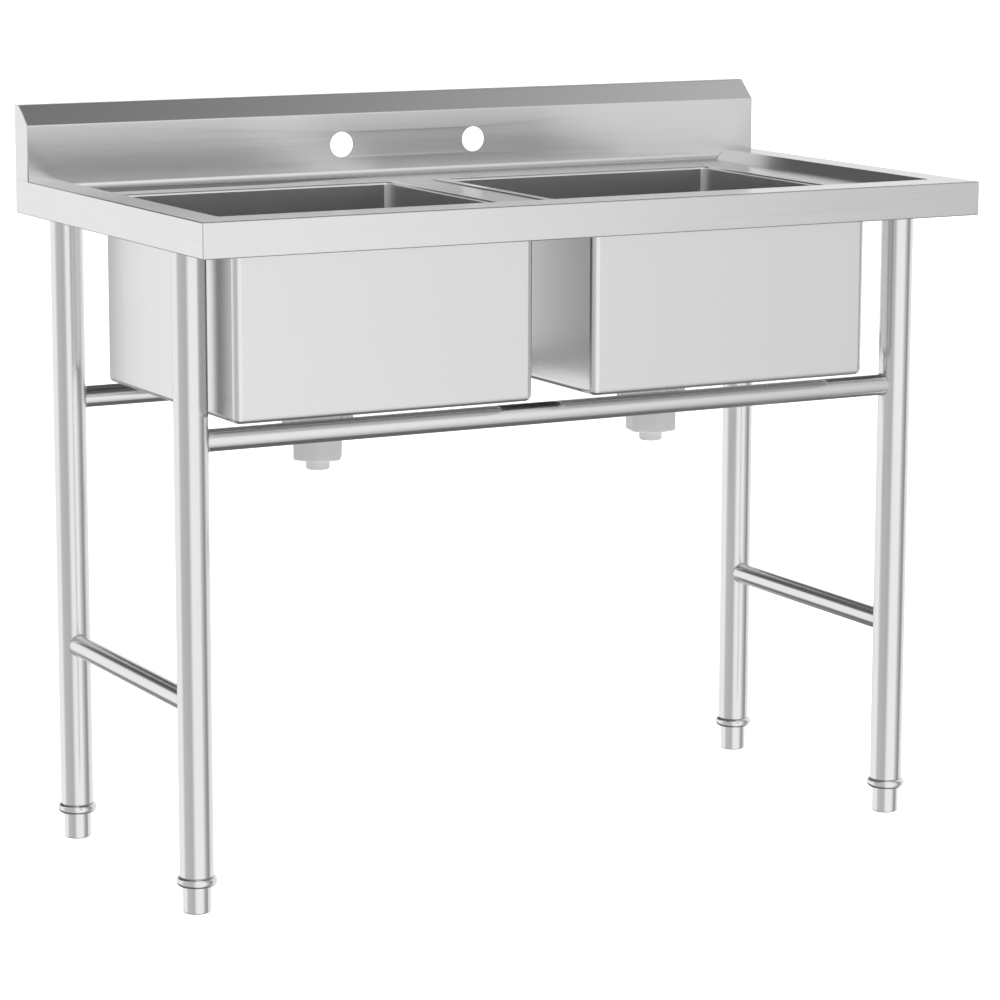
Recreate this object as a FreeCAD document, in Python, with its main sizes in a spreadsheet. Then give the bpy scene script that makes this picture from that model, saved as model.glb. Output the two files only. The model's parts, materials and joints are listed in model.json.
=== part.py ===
"""Two-bowl commercial sink on a tubular stand, with a backsplash, levelling feet and basket drains.

Frame: origin on the floor under the middle of the overall box, +X to the right seen from the front,
+Y towards the wall, +Z up. Millimetres.
"""

import FreeCAD, Part
import math
import operator
import os
from types import SimpleNamespace

import Sketcher

# Driving dimensions: alias, value in millimetres or degrees, meaning.
SIZES = [
    ("overall_width", 1100.0, "outside width of the worktop"),
    ("overall_depth", 600.0, "outside depth, front apron to wall"),
    ("rim_height", 869.0, "floor to the top of the raised rim"),
    ("apron_drop", 44.0, "height of the aprons"),
    ("sheet", 1.2, "thickness of the stainless sheet"),
    ("return_lip", 12.0, "inward lip at the bottom of each apron"),
    ("left_rim", 43.5, "flat rim on the left"),
    ("right_rim", 43.0, "flat rim on the right"),
    ("front_rim", 54.5, "flat rim at the front"),
    ("recess_drop", 13.5, "depth of the sunken deck below the rim"),
    ("side_slope", 20.0, "run of the sloped walls at the sides of the deck"),
    ("front_slope", 4.5, "run of the sloped wall at the front of the deck"),
    ("slope_spread", 0.8, "how much wider the underside of the sloped walls is, to keep their thickness"),
    ("deck_cove", 9.0, "radius where the deck turns up into the backsplash"),
    ("splash_depth", 43.4, "front face of the backsplash to the wall"),
    ("splash_rise", 96.5, "height of the backsplash above the rim"),
    ("splash_bevel", 24.7, "height of the sloped band of the backsplash"),
    ("splash_top", 15.6, "depth of the flat top of the backsplash"),
    ("splash_return", 20.0, "short flange behind the backsplash"),
    ("faucet_radius", 17.0, "faucet hole radius"),
    ("faucet_spacing", 200.0, "distance between the faucet holes"),
    ("faucet_rise", 30.5, "faucet hole centre above the rim"),
    ("bowl_width", 407.0, "outside width of a bowl"),
    ("bowl_length", 400.0, "outside front-to-back size of a bowl"),
    ("bowl_front", 59.0, "front apron to the front of the bowls"),
    ("bowl_bottom", 617.0, "floor to the underside of the bowls"),
    ("bowl_corner", 10.0, "outside radius of the upright bowl corners"),
    ("bowl_foot", 8.0, "outside radius around the bowl bottom"),
    ("bowl_flange", 15.0, "flange of a bowl, laid on the deck behind it and beside it"),
    ("bowl_land", 2.0, "narrow flange of the left bowl next to the left rim"),
    ("bowl_gap", 0.3, "gap between a bowl and the edge of its cut-out in the deck"),
    ("left_bowl_place", -280.7, "X of the middle of the left bowl"),
    ("right_bowl_place", 210.3, "X of the middle of the right bowl"),
    ("drain_hole", 43.0, "radius of the hole in a bowl bottom"),
    ("channel_drop", 29.0, "rim top to the underside of the stiffening channels"),
    ("channel_sheet", 1.5, "thickness of the channels"),
    ("left_channel_reach", 64.2, "left end of the sink to the far side of the left channel"),
    ("right_channel_reach", 66.0, "right end of the sink to the far side of the right channel"),
    ("channel_end_gap", 6.0, "channel ends clear of the aprons"),
    ("centre_channel_width", 38.0, "width of the channel between the bowls"),
    ("leg_inset", 38.5, "leg axis from the end of the sink"),
    ("front_leg_back", 130.0, "front leg axis behind the front apron"),
    ("rear_leg_back", 523.0, "rear leg axis behind the front apron"),
    ("leg_radius", 21.2, "outside radius of a leg"),
    ("tube_wall", 1.2, "wall of the tubes"),
    ("socket_length", 52.0, "length of a leg socket"),
    ("socket_wall", 3.0, "wall of a leg socket"),
    ("slip_gap", 0.1, "radial gap where a tube slips over a plug"),
    ("screw_radius", 3.95, "radius of a leg set screw"),
    ("screw_length", 6.0, "length of a leg set screw"),
    ("screw_gap", 0.05, "radial gap around a screw"),
    ("screw_height", 812.0, "height of the leg set screws"),
    ("screw_proud", 1.0, "how far a leg set screw stands out of its leg"),
    ("rail_radius", 14.0, "outside radius of the rails"),
    ("long_rail_height", 589.0, "height of the front and rear rail axes"),
    ("side_rail_height", 262.5, "height of the side rail axes"),
    ("collar_radius", 25.5, "outside radius of the ring at the end of a leg"),
    ("collar_bottom", 34.0, "floor to the underside of that ring"),
    ("collar_height", 12.5, "thickness of that ring"),
    ("collar_round", 4.5, "rounding of that ring"),
    ("insert_top", 104.0, "top of the plug inside the leg"),
    ("insert_disc", 8.0, "thickness of the threaded end of the plug"),
    ("foot_radius", 17.5, "outside radius of a foot"),
    ("foot_gap", 0.4, "radial gap around a foot"),
    ("foot_wall", 2.0, "wall of a foot"),
    ("foot_base", 5.0, "thickness of the bottom of a foot"),
    ("foot_top", 72.0, "top of a foot inside the leg"),
    ("foot_round", 2.0, "rounding of the bottom edge of a foot"),
    ("stud_radius", 5.95, "radius of the foot stud"),
    ("stud_gap", 0.06, "radial gap around the foot stud"),
    ("stud_top", 135.0, "top of the foot stud"),
    ("cup_flange", 56.0, "radius of the flange of the strainer cup"),
    ("cup_radius", 42.0, "outside radius of the strainer cup"),
    ("cup_bottom", 584.0, "floor to the underside of the strainer cup"),
    ("water_hole", 5.0, "radius of the water holes in cup and basket"),
    ("water_ring", 24.0, "radius of the ring of water holes"),
    ("gasket_radius", 50.0, "outside radius of the gasket and of the body flange"),
    ("gasket_height", 3.0, "thickness of the gasket"),
    ("body_radius", 45.0, "outside radius of the drain body"),
    ("body_bore", 42.4, "inside radius of the drain body"),
    ("body_flange", 4.0, "thickness of the flange of the drain body"),
    ("body_bottom", 562.0, "floor to the underside of the drain body"),
    ("body_floor", 5.0, "thickness of the floor of the drain body"),
    ("pipe_radius", 23.9, "outside radius of the threaded outlet"),
    ("pipe_bore", 19.5, "inside radius of the threaded outlet"),
    ("pipe_bottom", 540.5, "floor to the lower end of the threaded outlet"),
    ("boss_radius", 6.0, "radius of the boss that takes the clamp screw"),
    ("rib_width", 3.0, "thickness of the ribs that hold the boss"),
    ("rib_height", 9.0, "height of those ribs"),
    ("clamp_radius", 2.9, "radius of the clamp screw"),
    ("clamp_head_radius", 5.5, "radius of the clamp screw head"),
    ("clamp_head", 3.0, "height of the clamp screw head"),
    ("clamp_length", 15.0, "length of the clamp screw under its head"),
    ("nut_flats", 60.0, "slip nut across the flats"),
    ("nut_bottom", 530.5, "floor to the underside of the slip nut"),
    ("nut_height", 27.0, "height of the slip nut"),
    ("nut_floor", 3.0, "thickness of the floor of the slip nut"),
    ("thread_gap", 0.1, "radial gap in the slip nut thread"),
    ("left_nut_turn", 0.0, "turn of the left slip nut"),
    ("right_nut_turn", 17.0, "turn of the right slip nut"),
    ("tail_radius", 15.2, "outside radius of the tailpiece"),
    ("tail_bore", 12.5, "inside radius of the tailpiece"),
    ("tail_bottom", 517.5, "floor to the lower end of the tailpiece"),
    ("tail_round", 1.5, "rounding of the lower edge of the tailpiece"),
    ("tail_gap", 0.4, "radial gap around the tailpiece"),
    ("tail_shoulder", 0.3, "how much wider the tailpiece is inside the slip nut"),
    ("tail_shoulder_drop", 1.0, "how far that shoulder stands below the slip nut"),
    ("tail_collar", 3.0, "thickness of the collar of the tailpiece"),
    ("washer_radius", 23.0, "outside radius of the slip washer and of the tailpiece collar"),
    ("basket_rim", 46.0, "radius of the rim of the lift-out basket"),
    ("basket_radius", 38.0, "outside radius of the basket"),
    ("basket_sheet", 0.8, "thickness of the basket"),
    ("basket_bottom", 596.0, "floor to the underside of the basket"),
    ("knob_radius", 10.0, "radius of the basket knob"),
    ("knob_height", 7.0, "height of the head of the knob"),
    ("knob_top", 624.0, "floor to the top of the basket knob"),
    ("knob_stem", 3.0, "radius of the stem of the knob"),
    ("knob_round", 2.5, "rounding of the knob"),
]

ALONG_X = FreeCAD.Rotation(FreeCAD.Vector(0, 1, 0), 90)
ALONG_Y = FreeCAD.Rotation(FreeCAD.Vector(1, 0, 0), -90)
ALONG_Z = FreeCAD.Rotation()
CUT_MARGIN = 1.0          # how far a cutting tool runs past the face that it opens
WATER_HOLES = 8
RIB_COUNT = 3             # bars through the boss, evenly turned
CHAMFER_RATIO = math.sqrt(3)

OPERATIONS = {"+": operator.add, "-": operator.sub, "*": operator.mul, "/": operator.truediv}


class Size:
    """A number together with the spreadsheet formula that gives it."""

    def __init__(self, value, formula):
        self.value = value
        self.formula = formula

    def joined(self, sign, other, swapped=False):
        other = other if isinstance(other, Size) else Size(other, repr(float(other)))
        left, right = (other, self) if swapped else (self, other)
        value = OPERATIONS[sign](left.value, right.value)
        return Size(value, f"({left.formula} {sign} {right.formula})")

    def __add__(self, other):
        return self.joined("+", other)

    def __radd__(self, other):
        return self.joined("+", other, swapped=True)

    def __sub__(self, other):
        return self.joined("-", other)

    def __rsub__(self, other):
        return self.joined("-", other, swapped=True)

    def __mul__(self, other):
        return self.joined("*", other)

    def __rmul__(self, other):
        return self.joined("*", other, swapped=True)

    def __truediv__(self, other):
        return self.joined("/", other)

    def __neg__(self):
        return self.joined("*", -1)


ZERO = Size(0.0, "0")

document = FreeCAD.newDocument("CommercialSink")
nodes = []


def make_sheet():
    """The spreadsheet of driving dimensions, returned as one Size for each alias."""
    sheet = document.addObject("Spreadsheet::Sheet", "Sizes")
    for row, (alias, value, meaning) in enumerate(SIZES, start=1):
        sheet.set(f"A{row}", alias)
        sheet.set(f"B{row}", str(value))
        sheet.setAlias(f"B{row}", alias)
        sheet.set(f"C{row}", meaning)
    document.recompute()
    return SimpleNamespace(**{alias: Size(sheet.get(alias), f"Sizes.{alias}") for alias, _, _ in SIZES})


s = make_sheet()

# Levels and places that several pieces share.
half_width = s.overall_width / 2
half_depth = s.overall_depth / 2
deck_top = s.rim_height - s.recess_drop
deck_under = deck_top - s.sheet
flange_top = deck_top + s.sheet
apron_bottom = s.rim_height - s.apron_drop
splash_front = half_depth - s.splash_depth
splash_peak = s.rim_height + s.splash_rise
bowl_front = s.bowl_front - half_depth
bowl_middle = bowl_front + s.bowl_length / 2
bowl_floor = s.bowl_bottom + s.sheet
channel_under = s.rim_height - s.channel_drop
collar_top = s.collar_bottom + s.collar_height
plug_radius = s.leg_radius - s.tube_wall - s.slip_gap
cup_top = bowl_floor + s.sheet
gasket_under = s.bowl_bottom - s.gasket_height

SIDES = (("left", -1), ("right", 1))
BOWLS = (
    ("left", s.left_bowl_place, s.bowl_land, s.left_nut_turn),
    ("right", s.right_bowl_place, s.bowl_flange, s.right_nut_turn),
)
LEGS = (
    ("front_left", -1, s.front_leg_back - half_depth),
    ("front_right", 1, s.front_leg_back - half_depth),
    ("rear_left", -1, s.rear_leg_back - half_depth),
    ("rear_right", 1, s.rear_leg_back - half_depth),
)


def number(size):
    return size.value if isinstance(size, Size) else float(size)


def bind(feature, **properties):
    """Binds properties of a feature to formulas of the sheet."""
    for name, size in properties.items():
        formula = size.formula if isinstance(size, Size) else repr(float(size))
        feature.setExpression(name, formula)
    return feature


def place(feature, position, rotation=ALONG_Z):
    feature.Placement = FreeCAD.Placement(FreeCAD.Vector(*[number(size) for size in position]), rotation)
    for axis, size in zip("xyz", position):
        if isinstance(size, Size):
            feature.setExpression(f"Placement.Base.{axis}", size.formula)
    return feature


def box(name, low, high):
    """A box from its lowest corner to its highest corner."""
    feature = document.addObject("Part::Box", name)
    bind(feature, Length=high[0] - low[0], Width=high[1] - low[1], Height=high[2] - low[2])
    return place(feature, low)


def cylinder(name, start, radius, length, direction=ALONG_Z):
    feature = document.addObject("Part::Cylinder", name)
    bind(feature, Radius=radius, Height=length)
    return place(feature, start, direction)


def upright(name, middle, bottom, top, radius):
    """An upright cylinder between two levels."""
    return cylinder(name, (middle[0], middle[1], bottom), radius, top - bottom)


def fused(name, *features):
    feature = document.addObject("Part::MultiFuse", name)
    feature.Shapes = list(features)
    feature.Refine = True
    return feature


def shared(name, first, second):
    feature = document.addObject("Part::Common", name)
    feature.Base = first
    feature.Tool = second
    return feature


def cut(name, base, *tools):
    """The base with every tool taken out of it."""
    feature = document.addObject("Part::Cut", name)
    feature.Base = base
    feature.Tool = tools[0] if len(tools) == 1 else fused(f"{name}_tools", *tools)
    feature.Refine = True
    return feature


def rounded(name, base, radius_of_edge):
    """Rounds the edges for which the function gives a radius."""
    document.recompute()
    feature = document.addObject("Part::Fillet", name)
    feature.Base = base
    edges = []
    for index, edge in enumerate(base.Shape.Edges, start=1):
        radius = radius_of_edge(edge)
        if radius:
            edges.append((index, number(radius), number(radius)))
    feature.Edges = edges
    return feature


def is_circle_at(edge, level):
    """Whether an edge is a level circle at a height."""
    bounds = edge.BoundBox
    return bounds.ZLength < 0.001 and abs(bounds.ZMin - number(level)) < 0.001 and len(edge.Vertexes) == 1


def keep(node, feature):
    """Makes a feature a node of its own."""
    feature.Label = node
    nodes.append(feature)
    return feature


def polygon_body(name, plane_role, corners):
    """A PartDesign body with one sketch whose corners are bound to the sheet."""
    body = document.addObject("PartDesign::Body", name)
    sketch = body.newObject("Sketcher::SketchObject", f"{name}_sketch")
    plane = next(item for item in body.Origin.OriginFeatures if item.Role == plane_role)
    sketch.AttachmentSupport = [(plane, "")]
    sketch.MapMode = "FlatFace"
    points = [FreeCAD.Vector(number(u), number(v), 0) for u, v in corners]
    count = len(points)
    for index in range(count):
        sketch.addGeometry(Part.LineSegment(points[index], points[(index + 1) % count]), False)
    for index in range(count):
        sketch.addConstraint(Sketcher.Constraint("Coincident", index, 2, (index + 1) % count, 1))
    for index, corner in enumerate(corners):
        for kind, size in zip(("DistanceX", "DistanceY"), corner):
            row = sketch.addConstraint(Sketcher.Constraint(kind, -1, 1, index, 1, number(size)))
            if isinstance(size, Size):
                sketch.setExpression(f"Constraints[{row}]", size.formula)
    return body, sketch


def padded(name, plane_role, corners, length, position, rotation=ALONG_Z):
    """A polygon padded along its plane's normal."""
    body, sketch = polygon_body(name, plane_role, corners)
    pad = body.newObject("PartDesign::Pad", f"{name}_pad")
    pad.Profile = sketch
    bind(pad, Length=length)
    body.Tip = pad
    return place(body, position, rotation)


def recess(name, drop, spread, rear):
    """The space of the sunken deck as a frustum that is wider at the top; drop lowers it, spread widens it."""
    top = s.rim_height - drop
    bottom = deck_top - drop
    wedge = document.addObject("Part::Wedge", name)
    bind(
        wedge,
        Xmin=s.left_rim + s.side_slope - spread - half_width,
        Xmax=half_width - s.right_rim - s.side_slope + spread,
        X2min=s.left_rim - spread - half_width,
        X2max=half_width - s.right_rim + spread,
        Ymin=bottom,
        Ymax=top,
        Zmin=-rear,
        Z2min=-rear,
        Zmax=half_depth - s.front_rim - s.front_slope + spread,
        Z2max=half_depth - s.front_rim + spread,
    )
    wedge.Placement = FreeCAD.Placement(FreeCAD.Vector(), FreeCAD.Rotation(FreeCAD.Vector(1, 0, 0), 90))
    return wedge


def bowl_rounding(floor_level, growth):
    """Radii for a bowl block that is larger than the bowl by a growth: upright corners and floor edges."""
    def radius_of_edge(edge):
        bounds = edge.BoundBox
        if bounds.ZLength > 1.0:
            return s.bowl_corner + growth
        if bounds.ZMax < number(floor_level) + 0.001:
            return s.bowl_foot + growth
        return None
    return radius_of_edge


def bowl_block(name, middle_x, growth, top):
    """A bowl-shaped solid, larger than the outside of the bowl by a growth and cut off at a level."""
    reach_x = s.bowl_width / 2 + growth
    reach_y = s.bowl_length / 2 + growth
    bottom = s.bowl_bottom - growth
    block = box(f"{name}_block", (middle_x - reach_x, bowl_middle - reach_y, bottom),
                (middle_x + reach_x, bowl_middle + reach_y, top))
    return rounded(name, block, bowl_rounding(bottom, growth))


def make_bowl(side, middle_x, left_reach):
    """A deep bowl whose flange lies on the deck behind it and on both sides."""
    shell = bowl_block(f"{side}_bowl_shell", middle_x, ZERO, flange_top)
    space = bowl_block(f"{side}_bowl_space", middle_x, -s.sheet, s.rim_height + CUT_MARGIN)
    flange = box(
        f"{side}_bowl_flange",
        (middle_x - s.bowl_width / 2 - left_reach, bowl_front, deck_top),
        (middle_x + s.bowl_width / 2 + s.bowl_flange, bowl_front + s.bowl_length + s.bowl_flange, flange_top),
    )
    drain = upright(f"{side}_bowl_drain", (middle_x, bowl_middle), s.bowl_bottom - CUT_MARGIN,
                    bowl_floor + CUT_MARGIN, s.drain_hole)
    keep(f"{side}_bowl", cut(f"{side}_bowl", fused(f"{side}_bowl_body", shell, flange), space, drain))


def make_worktop():
    """One folded sheet: rim, sloped walls, sunken deck with two cut-outs, three aprons and return lips."""
    splash_back = splash_front + s.sheet
    block = box("worktop_block", (-half_width, -half_depth, apron_bottom),
                (half_width, half_depth, s.rim_height))
    hollow = box(
        "worktop_hollow",
        (s.sheet - half_width, s.sheet - half_depth, apron_bottom - CUT_MARGIN),
        (half_width - s.sheet, half_depth + CUT_MARGIN, s.rim_height - s.sheet),
    )
    behind_splash = box(
        "worktop_behind_splash",
        (s.sheet - half_width, splash_back, apron_bottom - CUT_MARGIN),
        (half_width - s.sheet, half_depth + CUT_MARGIN, s.rim_height + CUT_MARGIN),
    )
    lips = [
        box("worktop_front_lip", (s.sheet - half_width, s.sheet - half_depth, apron_bottom),
            (half_width - s.sheet, s.sheet + s.return_lip - half_depth, apron_bottom + s.sheet)),
        box("worktop_left_lip", (s.sheet - half_width, s.sheet - half_depth, apron_bottom),
            (s.sheet + s.return_lip - half_width, half_depth, apron_bottom + s.sheet)),
        box("worktop_right_lip", (half_width - s.sheet - s.return_lip, s.sheet - half_depth, apron_bottom),
            (half_width - s.sheet, half_depth, apron_bottom + s.sheet)),
    ]
    rim = cut("worktop_rim", block, hollow, behind_splash)
    dished = fused("worktop_dished", rim, recess("worktop_dish", s.sheet, s.slope_spread, splash_back), *lips)
    opening = recess("worktop_recess", ZERO, ZERO, splash_back + CUT_MARGIN)
    cut_outs = [bowl_block(f"worktop_{side}_cut_out", middle_x, s.bowl_gap, s.rim_height + CUT_MARGIN)
                for side, middle_x, _left_reach, _nut_turn in BOWLS]
    keep("worktop", cut("worktop", dished, opening, *cut_outs))


def make_backsplash():
    """A folded sheet: upright face, sloped band, flat top and a short return, with two faucet holes."""
    run = s.splash_depth - s.splash_top
    angle = math.atan2(number(s.splash_bevel), number(run))
    slope = Size(angle, f"(atan({(s.splash_bevel / run).formula}) * pi / 180 deg)")
    lower_miter = s.sheet * tangent_of(0.25 * math.pi - slope / 2)
    upper_miter = s.sheet * tangent_of(slope / 2)
    bend = s.splash_rise - s.splash_bevel
    corners = [
        (ZERO, ZERO),
        (ZERO, bend),
        (run, s.splash_rise),
        (s.splash_depth, s.splash_rise),
        (s.splash_depth, s.splash_rise - s.splash_return),
        (s.splash_depth - s.sheet, s.splash_rise - s.splash_return),
        (s.splash_depth - s.sheet, s.splash_rise - s.sheet),
        (run + upper_miter, s.splash_rise - s.sheet),
        (s.sheet, bend - lower_miter),
        (s.sheet, ZERO),
    ]
    folded = padded("backsplash_fold", "YZ_Plane", corners, s.overall_width - 2 * s.sheet,
                    (s.sheet - half_width, splash_front, s.rim_height))
    foot = box("backsplash_foot_block", (-half_width, splash_front, deck_top),
               (half_width, splash_front + s.sheet, s.rim_height))
    corner = box("backsplash_corner", (-half_width, splash_front - s.deck_cove, deck_top),
                 (half_width, splash_front, deck_top + s.deck_cove))
    round_space = cylinder("backsplash_cove_space", (-half_width, splash_front - s.deck_cove,
                           deck_top + s.deck_cove), s.deck_cove, s.overall_width, ALONG_X)
    cove = cut("backsplash_cove", corner, round_space)
    lower = shared("backsplash_lower", fused("backsplash_foot", foot, cove),
                   recess("backsplash_recess", ZERO, ZERO, splash_front + s.sheet))
    holes = [
        cylinder(f"backsplash_{side}_hole", (s.faucet_spacing / 2 * sign, splash_front - CUT_MARGIN,
                 s.rim_height + s.faucet_rise), s.faucet_radius, s.sheet + 2 * CUT_MARGIN, ALONG_Y)
        for side, sign in SIDES
    ]
    keep("backsplash", cut("backsplash", fused("backsplash_body", folded, lower), *holes))


def tangent_of(angle):
    """The tangent of an angle in radians."""
    return Size(math.tan(number(angle)), f"tan({angle.formula} * 1 rad)")


def make_end_cap(side, sign):
    """The welded end plate of the backsplash, flush with the side apron."""
    run = s.splash_depth - s.splash_top
    corners = [
        (ZERO, ZERO),
        (ZERO, s.splash_rise - s.splash_bevel),
        (run, s.splash_rise),
        (s.splash_depth, s.splash_rise),
        (s.splash_depth, ZERO),
    ]
    start = -half_width if sign < 0 else half_width - s.sheet
    node = f"backsplash_{side}_cap"
    keep(node, padded(node, "YZ_Plane", corners, s.sheet, (start, splash_front, s.rim_height)))


def make_side_channel(side, sign, reach):
    """A channel under the rim, between the apron and the deck, that carries the two legs of one side."""
    apron_face = half_width - s.sheet
    inner_face = half_width - reach
    front = s.channel_end_gap - half_depth + s.sheet + s.return_lip
    back = splash_front - s.channel_end_gap
    web_top = channel_under + s.channel_sheet

    def strip(name, near, far, low, high):
        ends = (near, far) if sign > 0 else (-far, -near)
        return box(f"{side}_channel_{name}", (ends[0], front, low), (ends[1], back, high))

    web = strip("web", inner_face, apron_face, channel_under, web_top)
    outer = strip("outer", apron_face - s.channel_sheet, apron_face, channel_under,
                  s.rim_height - s.channel_drop / 2)
    inner = strip("inner", inner_face, inner_face + s.channel_sheet, channel_under, deck_under)
    keep(f"{side}_channel", fused(f"{side}_channel", web, outer, inner))


def make_centre_channel():
    """A channel across the deck between the two bowls."""
    middle = (s.left_bowl_place + s.right_bowl_place) / 2
    low_x = middle - s.centre_channel_width / 2
    high_x = middle + s.centre_channel_width / 2
    front = s.channel_end_gap - half_depth + s.front_rim + s.front_slope
    back = splash_front - s.channel_end_gap
    block = box("centre_channel_block", (low_x, front, channel_under), (high_x, back, deck_under))
    hollow = box(
        "centre_channel_hollow",
        (low_x + s.channel_sheet, front - CUT_MARGIN, channel_under + s.channel_sheet),
        (high_x - s.channel_sheet, back + CUT_MARGIN, deck_under + CUT_MARGIN),
    )
    keep("centre_channel", cut("centre_channel", block, hollow))


def make_stand():
    """Legs with their sockets and set screws, and the four rails between them."""
    leg_reach = half_width - s.leg_inset
    leg_solids = {}
    screws = []
    for name, sign, leg_y in LEGS:
        middle = (leg_reach * sign, leg_y)
        screw_hole = cylinder(f"{name}_screw_hole", (middle[0], leg_y, s.screw_height),
                              s.screw_radius + s.screw_gap, s.leg_radius + CUT_MARGIN, ALONG_Y)
        outside = upright(f"{name}_leg_outside", middle, collar_top, channel_under, s.leg_radius)
        inside = upright(f"{name}_leg_inside", middle, collar_top - CUT_MARGIN, channel_under + CUT_MARGIN,
                         s.leg_radius - s.tube_wall)
        keep(f"{name}_leg", cut(f"{name}_leg", outside, inside, screw_hole))
        leg_solids[name] = outside

        socket_bottom = channel_under - s.socket_length
        plug = upright(f"{name}_socket_plug", middle, socket_bottom, channel_under, plug_radius)
        bore = upright(f"{name}_socket_bore", middle, socket_bottom - CUT_MARGIN,
                       channel_under - s.socket_wall, plug_radius - s.socket_wall)
        keep(f"{name}_socket", cut(f"{name}_socket", plug, bore, screw_hole))

        screw_start = leg_y + s.leg_radius + s.screw_proud - s.screw_length
        screws.append(cylinder(f"{name}_set_screw", (middle[0], screw_start, s.screw_height),
                               s.screw_radius, s.screw_length, ALONG_Y))
    group = document.addObject("Part::Compound", "leg_set_screws")
    group.Links = screws
    keep("leg_set_screws", group)

    for row in ("front", "rear"):
        start = (-leg_reach, dict((leg[0], leg[2]) for leg in LEGS)[f"{row}_left"], s.long_rail_height)
        make_rail(f"{row}_rail", start, leg_reach * 2, ALONG_X,
                  leg_solids[f"{row}_left"], leg_solids[f"{row}_right"])
    for side, sign in SIDES:
        start = (leg_reach * sign, s.front_leg_back - half_depth, s.side_rail_height)
        make_rail(f"{side}_side_rail", start, s.rear_leg_back - s.front_leg_back, ALONG_Y,
                  leg_solids[f"front_{side}"], leg_solids[f"rear_{side}"])


def make_rail(node, start, length, direction, first_leg, second_leg):
    """A tube between two leg axes, with its ends shaped to the legs."""
    outside = cylinder(f"{node}_outside", start, s.rail_radius, length, direction)
    inside = cylinder(f"{node}_inside", start, s.rail_radius - s.tube_wall, length, direction)
    keep(node, cut(node, outside, inside, first_leg, second_leg))


def make_foot(name, sign, leg_y):
    """The plug at the end of a leg with its ring, and the foot that turns on a stud inside it."""
    middle = ((half_width - s.leg_inset) * sign, leg_y)
    disc = upright(f"{name}_collar_disc", middle, s.collar_bottom, collar_top, s.collar_radius)
    ring = rounded(f"{name}_collar_ring", disc,
                   lambda edge: s.collar_round if is_circle_at(edge, s.collar_bottom)
                   or is_circle_at(edge, collar_top) else None)
    plug = upright(f"{name}_insert_plug", middle, s.collar_bottom + s.collar_round, s.insert_top, plug_radius)
    guide = upright(f"{name}_insert_guide", middle, s.collar_bottom - CUT_MARGIN,
                    s.insert_top - s.insert_disc, s.foot_radius + s.foot_gap)
    thread = upright(f"{name}_insert_thread", middle, s.collar_bottom, s.insert_top + CUT_MARGIN,
                     s.stud_radius + s.stud_gap)
    keep(f"{name}_leg_insert", cut(f"{name}_leg_insert", fused(f"{name}_insert_body", ring, plug),
                                   guide, thread))

    barrel = upright(f"{name}_foot_barrel", middle, ZERO, s.foot_top, s.foot_radius)
    eased = rounded(f"{name}_foot_eased", barrel,
                    lambda edge: s.foot_round if is_circle_at(edge, 0.0) else None)
    hollow = upright(f"{name}_foot_hollow", middle, s.foot_base, s.foot_top + CUT_MARGIN,
                     s.foot_radius - s.foot_wall)
    keep(f"{name}_foot", cut(f"{name}_foot", eased, hollow))
    keep(f"{name}_foot_stud", upright(f"{name}_foot_stud", middle, s.foot_base, s.stud_top, s.stud_radius))


def water_holes(name, middle, bottom, top):
    """A ring of holes as cutting tools."""
    holes = []
    for index in range(WATER_HOLES):
        turn = math.tau * index / WATER_HOLES
        spot = (middle[0] + s.water_ring * math.cos(turn), middle[1] + s.water_ring * math.sin(turn))
        holes.append(upright(f"{name}_water_hole_{index}", spot, bottom, top, s.water_hole))
    return holes


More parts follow.
